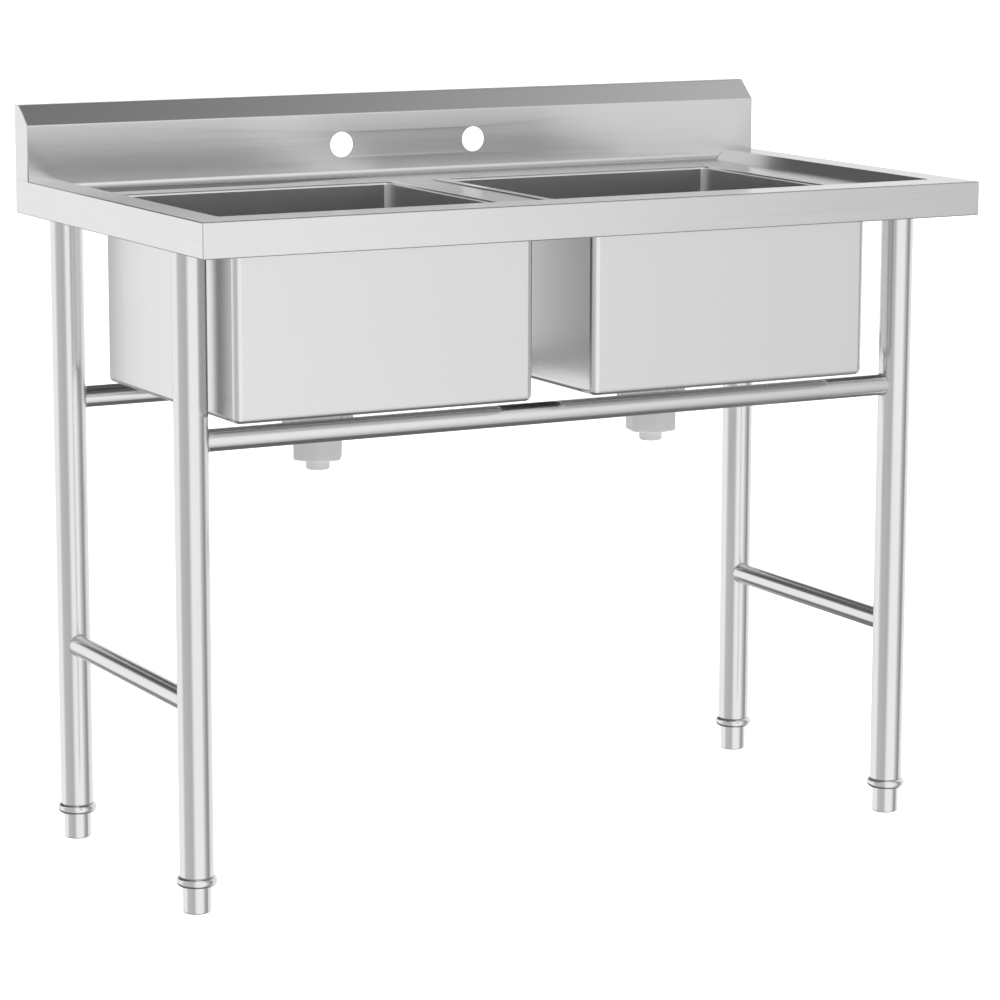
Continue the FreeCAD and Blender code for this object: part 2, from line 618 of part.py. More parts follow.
def make_strainer(side, middle):
    """The cup clamped into the bowl, its gasket, the drain body below and the screw that joins them."""
    flange = upright(f"{side}_cup_flange", middle, bowl_floor, cup_top, s.cup_flange)
    wall = upright(f"{side}_cup_wall", middle, s.cup_bottom, cup_top, s.cup_radius)
    hollow = upright(f"{side}_cup_hollow", middle, s.cup_bottom + s.sheet, cup_top + CUT_MARGIN,
                     s.cup_radius - s.sheet)
    screw_way = upright(f"{side}_cup_screw_way", middle, s.cup_bottom - CUT_MARGIN,
                        s.cup_bottom + s.sheet + CUT_MARGIN, s.clamp_radius + s.screw_gap)
    holes = water_holes(f"{side}_cup", middle, s.cup_bottom - CUT_MARGIN, s.cup_bottom + s.sheet + CUT_MARGIN)
    keep(f"{side}_strainer_cup", cut(f"{side}_strainer_cup", fused(f"{side}_cup_body", flange, wall),
                                     hollow, screw_way, *holes))

    gasket = upright(f"{side}_gasket_disc", middle, gasket_under, s.bowl_bottom, s.gasket_radius)
    gasket_hole = upright(f"{side}_gasket_hole", middle, gasket_under - CUT_MARGIN,
                          s.bowl_bottom + CUT_MARGIN, s.drain_hole)
    keep(f"{side}_gasket", cut(f"{side}_gasket", gasket, gasket_hole))

    body_flange = upright(f"{side}_body_flange", middle, gasket_under - s.body_flange, gasket_under,
                          s.gasket_radius)
    body_wall = upright(f"{side}_body_wall", middle, s.body_bottom, gasket_under, s.body_radius)
    pipe = upright(f"{side}_body_pipe", middle, s.pipe_bottom, s.body_bottom + CUT_MARGIN, s.pipe_radius)
    floor_top = s.body_bottom + s.body_floor
    bore = upright(f"{side}_body_bore", middle, floor_top, gasket_under + CUT_MARGIN, s.body_bore)
    outlet = upright(f"{side}_body_outlet", middle, s.pipe_bottom - CUT_MARGIN, floor_top + CUT_MARGIN,
                     s.pipe_bore)
    open_body = cut(f"{side}_body_open", fused(f"{side}_body_outer", body_flange, body_wall, pipe),
                    bore, outlet)
    boss = upright(f"{side}_body_boss", middle, s.body_bottom, s.cup_bottom, s.boss_radius)
    ribs = []
    reach = s.pipe_bore + s.body_floor
    for index in range(RIB_COUNT):
        rib = document.addObject("Part::Box", f"{side}_body_rib_{index}")
        bind(rib, Length=reach * 2, Width=s.rib_width, Height=s.rib_height)
        turn = FreeCAD.Rotation(FreeCAD.Vector(0, 0, 1), 180.0 * index / RIB_COUNT)
        corner = turn.multVec(FreeCAD.Vector(-1, -1, 0))
        across = turn.multVec(FreeCAD.Vector(-1, 1, 0))
        along_part = (corner + across) * 0.5
        side_part = (corner - across) * 0.5
        ribs.append(place(rib, (middle[0] + reach * along_part.x + s.rib_width / 2 * side_part.x,
                                middle[1] + reach * along_part.y + s.rib_width / 2 * side_part.y,
                                s.body_bottom), turn))
    screw_hole = upright(f"{side}_boss_hole", middle, s.body_bottom - CUT_MARGIN, s.cup_bottom + CUT_MARGIN,
                         s.clamp_radius + s.screw_gap)
    keep(f"{side}_drain_body", cut(f"{side}_drain_body", fused(f"{side}_body_ribbed", open_body, boss, *ribs),
                                   screw_hole))

    seat = s.cup_bottom + s.sheet
    head = upright(f"{side}_clamp_head", middle, seat, seat + s.clamp_head, s.clamp_head_radius)
    shank = upright(f"{side}_clamp_shank", middle, seat - s.clamp_length, seat, s.clamp_radius)
    keep(f"{side}_clamp_screw", fused(f"{side}_clamp_screw", head, shank))


def make_outlet(side, middle, nut_turn):
    """The slip nut, washer and tailpiece below the drain body."""
    nut_top = s.nut_bottom + s.nut_height
    collar_bottom = s.nut_bottom + s.nut_floor
    collar_level = collar_bottom + s.tail_collar
    prism = document.addObject("Part::Prism", f"{side}_nut_prism")
    prism.Polygon = 6
    bind(prism, Circumradius=s.nut_flats / CHAMFER_RATIO, Height=s.nut_height)
    turn = FreeCAD.Rotation(FreeCAD.Vector(0, 0, 1), number(nut_turn))
    place(prism, (middle[0], middle[1], s.nut_bottom), turn)
    prism.setExpression("Placement.Rotation.Angle", f"{nut_turn.formula} * 1 deg")
    cone = document.addObject("Part::Cone", f"{side}_nut_cone")
    bind(cone, Radius1=s.nut_flats / 2, Radius2=s.nut_flats / 2 + s.nut_height * CHAMFER_RATIO,
         Height=s.nut_height)
    place(cone, (middle[0], middle[1], s.nut_bottom))
    thread = upright(f"{side}_nut_thread", middle, collar_bottom, nut_top + CUT_MARGIN,
                     s.pipe_radius + s.thread_gap)
    tail_way = upright(f"{side}_nut_tail_way", middle, s.nut_bottom - CUT_MARGIN, nut_top,
                       s.tail_radius + s.tail_shoulder + s.tail_gap)
    keep(f"{side}_slip_nut", cut(f"{side}_slip_nut", shared(f"{side}_nut_hexagon", prism, cone),
                                 thread, tail_way))

    barrel = upright(f"{side}_tail_barrel", middle, s.tail_bottom, collar_level, s.tail_radius)
    eased = rounded(f"{side}_tail_eased", barrel,
                    lambda edge: s.tail_round if is_circle_at(edge, s.tail_bottom) else None)
    shoulder = upright(f"{side}_tail_shoulder", middle, s.nut_bottom - s.tail_shoulder_drop, collar_level,
                       s.tail_radius + s.tail_shoulder)
    collar = upright(f"{side}_tail_collar", middle, collar_bottom, collar_level, s.washer_radius)
    bore = upright(f"{side}_tail_bore", middle, s.tail_bottom - CUT_MARGIN, collar_level + CUT_MARGIN,
                   s.tail_bore)
    keep(f"{side}_tailpiece", cut(f"{side}_tailpiece", fused(f"{side}_tail_body", eased, shoulder, collar),
                                  bore))

    disc = upright(f"{side}_washer_disc", middle, collar_level, s.pipe_bottom, s.washer_radius)
    hole = upright(f"{side}_washer_hole", middle, collar_level - CUT_MARGIN, s.pipe_bottom + CUT_MARGIN,
                   s.tail_bore)
    keep(f"{side}_slip_washer", cut(f"{side}_slip_washer", disc, hole))


def make_basket(side, middle):
    """The basket that lifts out of the strainer cup, with its knob."""
    rim_top = cup_top + s.basket_sheet
    rim = upright(f"{side}_basket_rim", middle, cup_top, rim_top, s.basket_rim)
    wall = upright(f"{side}_basket_wall", middle, s.basket_bottom, rim_top, s.basket_radius)
    floor_top = s.basket_bottom + s.basket_sheet
    hollow = upright(f"{side}_basket_hollow", middle, floor_top, rim_top + CUT_MARGIN,
                     s.basket_radius - s.basket_sheet)
    holes = water_holes(f"{side}_basket", middle, s.basket_bottom - CUT_MARGIN, floor_top + CUT_MARGIN)
    keep(f"{side}_basket", cut(f"{side}_basket", fused(f"{side}_basket_body", rim, wall), hollow, *holes))

    head_bottom = s.knob_top - s.knob_height
    head = upright(f"{side}_knob_head", middle, head_bottom, s.knob_top, s.knob_radius)
    soft_head = rounded(f"{side}_knob_soft", head,
                        lambda edge: s.knob_round if is_circle_at(edge, head_bottom)
                        or is_circle_at(edge, s.knob_top) else None)
    stem = upright(f"{side}_knob_stem", middle, floor_top, head_bottom + CUT_MARGIN, s.knob_stem)
    keep(f"{side}_basket_knob", fused(f"{side}_basket_knob", soft_head, stem))


def check_and_export():
    """Stops on any failed feature or bad shape, then writes one file for each node."""
    document.recompute()
    for feature in document.Objects:
        if "Invalid" in feature.State or "Error" in feature.State:
            raise RuntimeError(f"{feature.Name} failed: {feature.State}")
    os.makedirs("parts", exist_ok=True)
    for feature in nodes:
        shape = feature.Shape
        if shape.isNull() or not shape.isValid():
            raise RuntimeError(f"{feature.Label} has a bad shape")
        solids = len(shape.Solids)
        if solids != 1 and feature.Label != "leg_set_screws":
            raise RuntimeError(f"{feature.Label} has {solids} solids")
    for feature in nodes:
        feature.Shape.exportStep(f"parts/{feature.Label}.step")
    print(f"{len(nodes)} nodes written")


for bowl_side, bowl_x, left_flange, _nut_turn in BOWLS:
    make_bowl(bowl_side, bowl_x, left_flange)
make_worktop()
make_backsplash()
for cap_side, cap_sign in SIDES:
    make_end_cap(cap_side, cap_sign)
make_side_channel("left", -1, s.left_channel_reach)
make_side_channel("right", 1, s.right_channel_reach)
make_centre_channel()
make_stand()
for leg_name, leg_sign, leg_place in LEGS:
    make_foot(leg_name, leg_sign, leg_place)
for bowl_side, bowl_x, _left_flange, bowl_nut_turn in BOWLS:
    bowl_axis = (bowl_x, bowl_middle)
    make_strainer(bowl_side, bowl_axis)
    make_outlet(bowl_side, bowl_axis, bowl_nut_turn)
    make_basket(bowl_side, bowl_axis)
check_and_export()
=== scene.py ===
"""The looks of a two-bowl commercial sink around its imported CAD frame.

Metres, +X to the right, +Y to the wall, +Z up.
"""

import json
import math

import bmesh
import bpy
from mathutils import Matrix, Vector


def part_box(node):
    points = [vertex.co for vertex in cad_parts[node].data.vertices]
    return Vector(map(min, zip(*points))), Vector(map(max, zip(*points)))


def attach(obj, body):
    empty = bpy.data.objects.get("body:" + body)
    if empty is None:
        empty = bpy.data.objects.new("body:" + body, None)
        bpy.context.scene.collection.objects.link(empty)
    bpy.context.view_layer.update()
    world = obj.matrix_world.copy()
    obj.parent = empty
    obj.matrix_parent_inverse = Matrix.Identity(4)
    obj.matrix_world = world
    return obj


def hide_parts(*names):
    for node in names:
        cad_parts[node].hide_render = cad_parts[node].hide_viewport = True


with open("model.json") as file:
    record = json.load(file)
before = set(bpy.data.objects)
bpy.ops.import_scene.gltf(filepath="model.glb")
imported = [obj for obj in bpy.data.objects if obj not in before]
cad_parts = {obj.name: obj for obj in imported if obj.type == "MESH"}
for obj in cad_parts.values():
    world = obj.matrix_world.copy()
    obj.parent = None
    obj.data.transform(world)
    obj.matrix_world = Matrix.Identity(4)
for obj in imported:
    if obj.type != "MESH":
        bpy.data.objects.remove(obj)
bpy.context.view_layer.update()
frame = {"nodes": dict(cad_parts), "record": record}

# Driving sizes that the frame's boxes don't state.
MM = 0.001
SHEET = 1.2 * MM
LEFT_RIM = 43.5 * MM
RIGHT_RIM = 43.0 * MM
FRONT_RIM = 54.5 * MM
RECESS_DROP = 13.5 * MM
SIDE_SLOPE = 20.0 * MM
FRONT_SLOPE = 4.5 * MM
RETURN_LIP = 12.0 * MM
FOLD = 2.0 * MM             # outside radius of a sharp fold
SOFT_FOLD = 2.6 * MM        # radius of the pressed edges of the recess
CORNER = 2.2 * MM           # outside radius of the welded apron corners
INNER_CORNER = 3.5 * MM
COVE = 9.0 * MM
BEVEL_RISE = 24.7 * MM
SPLASH_TOP = 15.6 * MM
SPLASH_RETURN = 20.0 * MM
FAUCET_RADIUS = 17.0 * MM
FAUCET_SPACING = 200.0 * MM
BOWL_CORNER = 10.0 * MM
BOWL_FOOT = 8.0 * MM
BOWL_FLANGE = 15.0 * MM
BOWL_LAND = 2.0 * MM
BOWL_GAP = 0.3 * MM
FLANGE_CORNER = 9.0 * MM
LIP = 3.5 * MM
DRAIN_HOLE = 43.0 * MM
CHANNEL_SHEET = 1.5 * MM
TUBE_WALL = 1.2 * MM
ROUND_STEPS = 96            # sides of a turned piece
HOLE_STEPS = 24             # sides of a water hole
FAUCET_STEPS = 72           # sides of a faucet hole
FOLD_STEPS = 5
CORNER_STEPS = 10


# -------------------- shapes

def link(mesh, name):
    """Puts a mesh into the scene as an object."""
    piece = bpy.data.objects.new(name, mesh)
    bpy.context.scene.collection.objects.link(piece)
    return piece


def mesh_piece(name, vertices, faces, facing=None):
    """A mesh object with smooth shading; facing turns the whole surface to that side."""
    mesh = bpy.data.meshes.new(name)
    mesh.from_pydata([tuple(v) for v in vertices], [], faces)
    tidy = bmesh.new()
    tidy.from_mesh(mesh)
    bmesh.ops.remove_doubles(tidy, verts=tidy.verts, dist=1e-6)
    bmesh.ops.dissolve_degenerate(tidy, edges=tidy.edges, dist=1e-7)
    if facing is None:
        bmesh.ops.recalc_face_normals(tidy, faces=tidy.faces)
    else:
        total = sum((face.normal * face.calc_area() for face in tidy.faces), Vector())
        if total.dot(Vector(facing)) < 0:
            bmesh.ops.reverse_faces(tidy, faces=tidy.faces)
    tidy.to_mesh(mesh)
    tidy.free()
    mesh.shade_smooth()
    return link(mesh, name)


def rounded_path(points, radii, steps=FOLD_STEPS):
    """A 2-D polyline with its inner corners turned into arcs of the given radii."""
    path = [Vector(points[0])]
    for index in range(1, len(points) - 1):
        before, corner, after = (Vector(points[i]) for i in (index - 1, index, index + 1))
        radius = radii[index - 1]
        if radius <= 0:
            path.append(corner)
            continue
        inward = (before - corner).normalized()
        outward = (after - corner).normalized()
        half = inward.angle(outward) / 2
        reach = radius / math.tan(half)
        centre = corner + (inward + outward).normalized() * radius / math.sin(half)
        start = corner + inward * reach - centre
        sweep = math.pi - 2 * half
        turn = 1 if inward.x * outward.y - inward.y * outward.x < 0 else -1
        for step in range(steps + 1):
            angle = turn * sweep * step / steps
            cos, sin = math.cos(angle), math.sin(angle)
            path.append(centre + Vector((start.x * cos - start.y * sin, start.x * sin + start.y * cos)))
    path.append(Vector(points[-1]))
    return path


def surface(rows, closed=False):
    """Vertices and quads of a sheet through rows of equal length; closed joins each row's ends."""
    count = len(rows[0])
    faces = []
    for row in range(len(rows) - 1):
        for column in range(count if closed else count - 1):
            following = (column + 1) % count
            faces.append((row * count + column, row * count + following,
                          (row + 1) * count + following, (row + 1) * count + column))
    return [vertex for row in rows for vertex in row], faces


def loft(name, rows, closed=True, facing=None):
    """A piece of one sheet through rows of points."""
    return mesh_piece(name, *surface(rows, closed), facing)


def wire(name, path, radius, steps=8):
    """A thin round bead along a path, closed at both ends."""
    rows = []
    for index, point in enumerate(path):
        before = Vector(path[max(index - 1, 0)])
        after = Vector(path[min(index + 1, len(path) - 1)])
        ahead = (after - before).normalized()
        side = ahead.cross(Vector((0, 0, 1)))
        side = side.normalized() if side.length > 1e-6 else Vector((1, 0, 0))
        up = side.cross(ahead)
        rows.append([Vector(point) + radius * (side * math.cos(math.tau * i / steps)
                                               + up * math.sin(math.tau * i / steps)) for i in range(steps)])
    vertices, faces = surface(rows, closed=True)
    faces.append(tuple(range(steps)))
    faces.append(tuple(reversed(range(len(vertices) - steps, len(vertices)))))
    return mesh_piece(name, vertices, faces)


def circle(centre, radius, height, steps=ROUND_STEPS):
    """Points around a level circle."""
    return [(centre[0] + radius * math.cos(math.tau * i / steps),
             centre[1] + radius * math.sin(math.tau * i / steps), height) for i in range(steps)]


def flat(points):
    """Points without their height."""
    return [(x, y) for x, y, _z in points]


def turned(name, centre, profile, closed_profile=True, steps=ROUND_STEPS):
    """A piece turned about an upright axis from a profile of (radius, height)."""
    rows = [circle(centre, radius, height, steps) for radius, height in profile]
    if closed_profile:
        rows.append(rows[0])
    return loft(name, rows)


def rounded_rectangle(low_x, high_x, low_y, high_y, radius, steps=CORNER_STEPS):
    """Corner arcs of a rectangle in order, counter-clockwise from the lower left."""
    corners = (((low_x + radius, low_y + radius), math.pi), ((high_x - radius, low_y + radius), 1.5 * math.pi),
               ((high_x - radius, high_y - radius), 0.0), ((low_x + radius, high_y - radius), 0.5 * math.pi))
    points = []
    for centre, start in corners:
        for step in range(steps + 1):
            angle = start + 0.5 * math.pi * step / steps
            points.append((centre[0] + radius * math.cos(angle), centre[1] + radius * math.sin(angle)))
    return points


def filled_faces(outline, holes, to_space):
    """Vertices and triangles of a flat region with holes; to_space places a 2-D point."""
    work = bmesh.new()
    edges = []
    for loop in [outline] + holes:
        ring = [work.verts.new(to_space(point)) for point in loop]
        edges += [work.edges.new((ring[i], ring[(i + 1) % len(ring)])) for i in range(len(ring))]
    bmesh.ops.triangle_fill(work, use_beauty=True, use_dissolve=False, edges=edges)
    work.verts.index_update()
    vertices = [tuple(vert.co) for vert in work.verts]
    faces = [tuple(vert.index for vert in face.verts) for face in work.faces]
    work.free()
    normal_faces = []
    reference = None
    for face in faces:
        a, b, c = (Vector(vertices[i]) for i in face)
        normal = (b - a).cross(c - a)
        if reference is None:
            reference = normal
        normal_faces.append(face if normal.dot(reference) > 0 else tuple(reversed(face)))
    return vertices, normal_faces


def joined(parts, facing_each):
    """Joins (vertices, faces) parts into one list, each turned towards its own facing."""
    vertices, faces = [], []
    for (part_vertices, part_faces), facing in zip(parts, facing_each):
        total = Vector()
        for face in part_faces:
            corners = [Vector(part_vertices[i]) for i in face]
            for i in range(1, len(corners) - 1):
                total += (corners[i] - corners[0]).cross(corners[i + 1] - corners[0])
        flip = total.dot(Vector(facing)) < 0
        offset = len(vertices)
        vertices += [tuple(v) for v in part_vertices]
        faces += [tuple(i + offset for i in (reversed(face) if flip else face)) for face in part_faces]
    return vertices, faces


def thicken(piece, thickness, far_side_material=0):
    """Gives a surface its sheet thickness on the side away from its normals."""
    modifier = piece.modifiers.new("sheet", "SOLIDIFY")
    modifier.thickness = thickness
    modifier.offset = -1.0
    modifier.use_even_offset = True
    modifier.material_offset = far_side_material


def ease(piece, width, segments, limit_method):
    """Rounds the edges that the limit method picks."""
    modifier = piece.modifiers.new("eased_edges", "BEVEL")
    modifier.width = width
    modifier.segments = segments
    modifier.limit_method = limit_method
    modifier.angle_limit = math.radians(40.0)


def even_shading(piece):
    """Lets large flat faces keep their own normal next to small rounded ones."""
    modifier = piece.modifiers.new("even_shading", "WEIGHTED_NORMAL")
    modifier.keep_sharp = True
    modifier.weight = 80


def grain(piece, rule):
    """Lays UVs in metres: U across the grain, V along it. The rule is an axis, or gives one for a normal."""
    mesh = piece.data
    layer = mesh.uv_layers.new(name="grain")
    for polygon in mesh.polygons:
        along = rule(polygon.normal) if callable(rule) else rule
        for corner in polygon.loop_indices:
            place = mesh.vertices[mesh.loops[corner].vertex_index].co
            if along == "x":
                uv = (place.y + place.z, place.x)
            elif along == "y":
                uv = (place.x + place.z, place.y)
            else:
                uv = (place.x + place.y, place.z)
            layer.data[corner].uv = uv


def along_sheet(normal):
    """The worktop sheet is brushed along its length, and its end aprons front to back."""
    return "y" if abs(normal.x) > 0.9 else "x"


def along_bowl(normal):
    """Bowl walls are drawn upright, and bowl floors are brushed front to back."""
    return "y" if abs(normal.z) > 0.7 else "z"


def settle(piece, body, material, node=None, rule="z", even=True):
    """Finishes a piece: shading, grain, material, the body it rides on and the CAD node it stands for."""
    if even:
        even_shading(piece)
    grain(piece, rule)
    piece.data.materials.clear()
    piece.data.materials.append(material)
    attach(piece, body)
    if node:
        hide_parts(node)


# -------------------- materials

GRAIN_PITCH = 1400.0        # noise cells in a metre across the grain
SKIN_PITCH = 900.0          # noise cells in a metre of moulded skin
CLOUD_PITCH = 22.0          # and of its cloudiness


def new_material(name):
    """A material with its nodes, links and shader."""
    material = bpy.data.materials.new(name)
    material.use_nodes = True
    nodes = material.node_tree.nodes
    shader = nodes["Principled BSDF"]
    return material, nodes, material.node_tree.links, shader


def stretched_noise(nodes, links, source, scale, detail):
    """Noise on a coordinate that is scaled by axis."""
    mapping = nodes.new("ShaderNodeMapping")
    mapping.inputs["Scale"].default_value = scale
    links.new(source, mapping.inputs["Vector"])
    noise = nodes.new("ShaderNodeTexNoise")
    noise.inputs["Scale"].default_value = 1.0
    noise.inputs["Detail"].default_value = detail
    noise.inputs["Roughness"].default_value = 0.6
    links.new(mapping.outputs["Vector"], noise.inputs["Vector"])
    return noise.outputs["Fac"]


def computed(nodes, links, operation, *inputs):
    """A value worked out by a node from numbers and other nodes' outputs."""
    node = nodes.new("ShaderNodeMath")
    node.operation = operation
    for socket, value in zip(node.inputs, inputs):
        if isinstance(value, float):
            socket.default_value = value
        else:
            links.new(value, socket)
    return node.outputs["Value"]


def ranged(nodes, links, source, low, high, from_low=0.2, from_high=0.8):
    """A noise value spread over a working range."""
    spread = nodes.new("ShaderNodeMapRange")
    spread.interpolation_type = "SMOOTHSTEP"
    spread.inputs["From Min"].default_value = from_low
    spread.inputs["From Max"].default_value = from_high
    spread.inputs["To Min"].default_value = low
    spread.inputs["To Max"].default_value = high
    links.new(source, spread.inputs["Value"])
    return spread.outputs["Result"]


def tinted(nodes, links, factor, low, high):
    """A colour between two, chosen by a factor."""
    mix = nodes.new("ShaderNodeMix")
    mix.data_type = "RGBA"
    mix.inputs["A"].default_value = (*low, 1.0)
    mix.inputs["B"].default_value = (*high, 1.0)
    links.new(factor, mix.inputs["Factor"])
    return mix.outputs["Result"]


def toned(nodes, links, shader, tone, spread, factor):
    """Varies the base colour around a tone by a share of it."""
    low = [channel * (1 - spread) for channel in tone]
    high = [min(channel * (1 + spread), 1.0) for channel in tone]
    links.new(tinted(nodes, links, factor, low, high), shader.inputs["Base Color"])


def raised(nodes, links, shader, height, strength, distance):
    """Roughens the surface by a noise value."""
    bump = nodes.new("ShaderNodeBump")
    bump.inputs["Strength"].default_value = strength
    bump.inputs["Distance"].default_value = distance
    links.new(height, bump.inputs["Height"])
    links.new(bump.outputs["Normal"], shader.inputs["Normal"])


def brushed_steel(name, tone, roughness, streak, anisotropy=0.6, bump=0.0, streak_pitch=150.0,
                  gloss_spread=0.02):
    """Stainless sheet: broad streaks along the grain, some cloudiness and, if asked, a fine grain."""
    material, nodes, links, shader = new_material(name)
    uv = nodes.new("ShaderNodeUVMap")
    uv.uv_map = "grain"
    broad = stretched_noise(nodes, links, uv.outputs["UV"], (streak_pitch, streak_pitch / 80, 1.0), 1.5)
    place = nodes.new("ShaderNodeTexCoord")
    cloud = stretched_noise(nodes, links, place.outputs["Object"], (6.0, 6.0, 6.0), 2.0)
    cloud_part = computed(nodes, links, "MULTIPLY", cloud, 0.35)
    streaks = computed(nodes, links, "MULTIPLY_ADD", broad, 0.65, cloud_part)
    toned(nodes, links, shader, tone, streak, ranged(nodes, links, streaks, 0.0, 1.0, 0.25, 0.75))
    gloss = ranged(nodes, links, broad, roughness - gloss_spread, roughness + gloss_spread)
    links.new(gloss, shader.inputs["Roughness"])
    shader.inputs["Metallic"].default_value = 1.0
    shader.inputs["Anisotropic"].default_value = anisotropy
    tangent = nodes.new("ShaderNodeTangent")
    tangent.direction_type = "UV_MAP"
    tangent.uv_map = "grain"
    links.new(tangent.outputs["Tangent"], shader.inputs["Tangent"])
    if bump > 0:
        fine = stretched_noise(nodes, links, uv.outputs["UV"], (GRAIN_PITCH, GRAIN_PITCH / 60, 1.0), 3.0)
        raised(nodes, links, shader, fine, bump, 0.2 * MM)
    return material


def plain_metal(name, tone, roughness, speckle=0.05, pitch=90.0, bump=0.03):
    """Metal with no grain direction, speckled by place."""
    material, nodes, links, shader = new_material(name)
    place = nodes.new("ShaderNodeTexCoord")
    noise = stretched_noise(nodes, links, place.outputs["Object"], (pitch, pitch, pitch), 4.0)
    toned(nodes, links, shader, tone, speckle, ranged(nodes, links, noise, 0.0, 1.0))
    links.new(ranged(nodes, links, noise, roughness - 0.05, roughness + 0.05), shader.inputs["Roughness"])
    shader.inputs["Metallic"].default_value = 1.0
    raised(nodes, links, shader, noise, bump, 0.3 * MM)
    return material


def moulded(name, tone, roughness, speckle=0.04, bump=0.12):
    """Moulded plastic or rubber with a faint skin texture."""
    material, nodes, links, shader = new_material(name)
    place = nodes.new("ShaderNodeTexCoord")
    skin = stretched_noise(nodes, links, place.outputs["Object"], [SKIN_PITCH] * 3, 3.0)
    cloud = stretched_noise(nodes, links, place.outputs["Object"], [CLOUD_PITCH] * 3, 3.0)
    toned(nodes, links, shader, tone, speckle, ranged(nodes, links, cloud, 0.0, 1.0))
    links.new(ranged(nodes, links, skin, roughness - 0.06, roughness + 0.06), shader.inputs["Roughness"])
    shader.inputs["Specular IOR Level"].default_value = 0.4
    raised(nodes, links, shader, skin, bump, 0.2 * MM)
    return material


sheet_steel = brushed_steel("brushed_sheet", (0.70, 0.70, 0.70), 0.22, streak=0.02, gloss_spread=0.012)
# A dark copy of the sheet steel for the worktop's underside: painted shade under the deck.
shaded_underside_steel = plain_metal("sheet_underside_painted_shade", (0.22, 0.22, 0.22), 0.50, bump=0.0)
bowl_steel = brushed_steel("bowl_sheet", (0.75, 0.75, 0.75), 0.27, streak=0.008, streak_pitch=12.0,
                           gloss_spread=0.0015)
# A lighter, rougher copy of the bowl steel for the bowls' upright corners: a painted highlight down each
# corner.
corner_highlight_steel = brushed_steel("bowl_corner_painted_highlight", (0.86, 0.86, 0.86), 0.46, streak=0.03, anisotropy=0.2)
tube_steel = brushed_steel("tube_steel", (0.72, 0.72, 0.72), 0.19, streak=0.015, anisotropy=0.2)
cup_steel = brushed_steel("cup_steel", (0.72, 0.72, 0.73), 0.17, streak=0.02, anisotropy=0.2, bump=0.02)
mill_steel = brushed_steel("mill_steel", (0.60, 0.61, 0.62), 0.36, streak=0.06, anisotropy=0.3, bump=0.05)
weld_steel = plain_metal("weld_steel", (0.62, 0.61, 0.60), 0.34, speckle=0.10, pitch=420.0, bump=0.2)
plated_steel = plain_metal("plated_steel", (0.62, 0.63, 0.65), 0.30)
grey_plastic = moulded("grey_plastic", (0.53, 0.53, 0.53), 0.42, bump=0.05)
black_rubber = moulded("black_rubber", (0.03, 0.03, 0.03), 0.62, speckle=0.2)
black_knob = moulded("black_knob", (0.035, 0.035, 0.037), 0.38, speckle=0.15)

# -------------------- places from the frame

top_low, top_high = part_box("worktop")
splash_low, splash_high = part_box("backsplash")
WORK_LEFT, WORK_RIGHT = top_low[0], top_high[0]
WORK_FRONT, WALL = top_low[1], top_high[1]
APRON_BOTTOM, RIM = top_low[2], top_high[2]
DECK = RIM - RECESS_DROP
SPLASH_PEAK = splash_high[2]
SPLASH_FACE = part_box("backsplash_left_cap")[0][1]
FAUCET_LEVEL = frame["record"]["mounts"][0]["pos_m"][2]
FLANGE_TOP = DECK + SHEET


def axis_of(node):
    """Where the upright axis of a round piece of the frame stands."""
    low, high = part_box(node)
    return (low[0] + high[0]) / 2, (low[1] + high[1]) / 2


def round_sizes(node):
    """The radius, bottom and top of a round piece of the frame."""
    low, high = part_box(node)
    return (high[0] - low[0]) / 2, low[2], high[2]


# -------------------- folded sheet

def worktop_profile(rim, slope):
    """Inset and level of the worktop sheet from its return lip to the deck, for one side."""
    corners = [
        (RETURN_LIP, APRON_BOTTOM), (0.0, APRON_BOTTOM), (0.0, RIM), (rim, RIM), (rim + slope, DECK),
        (rim + slope + 4.0 * SOFT_FOLD, DECK),
    ]
    return rounded_path(corners, [FOLD, FOLD, SOFT_FOLD, SOFT_FOLD])


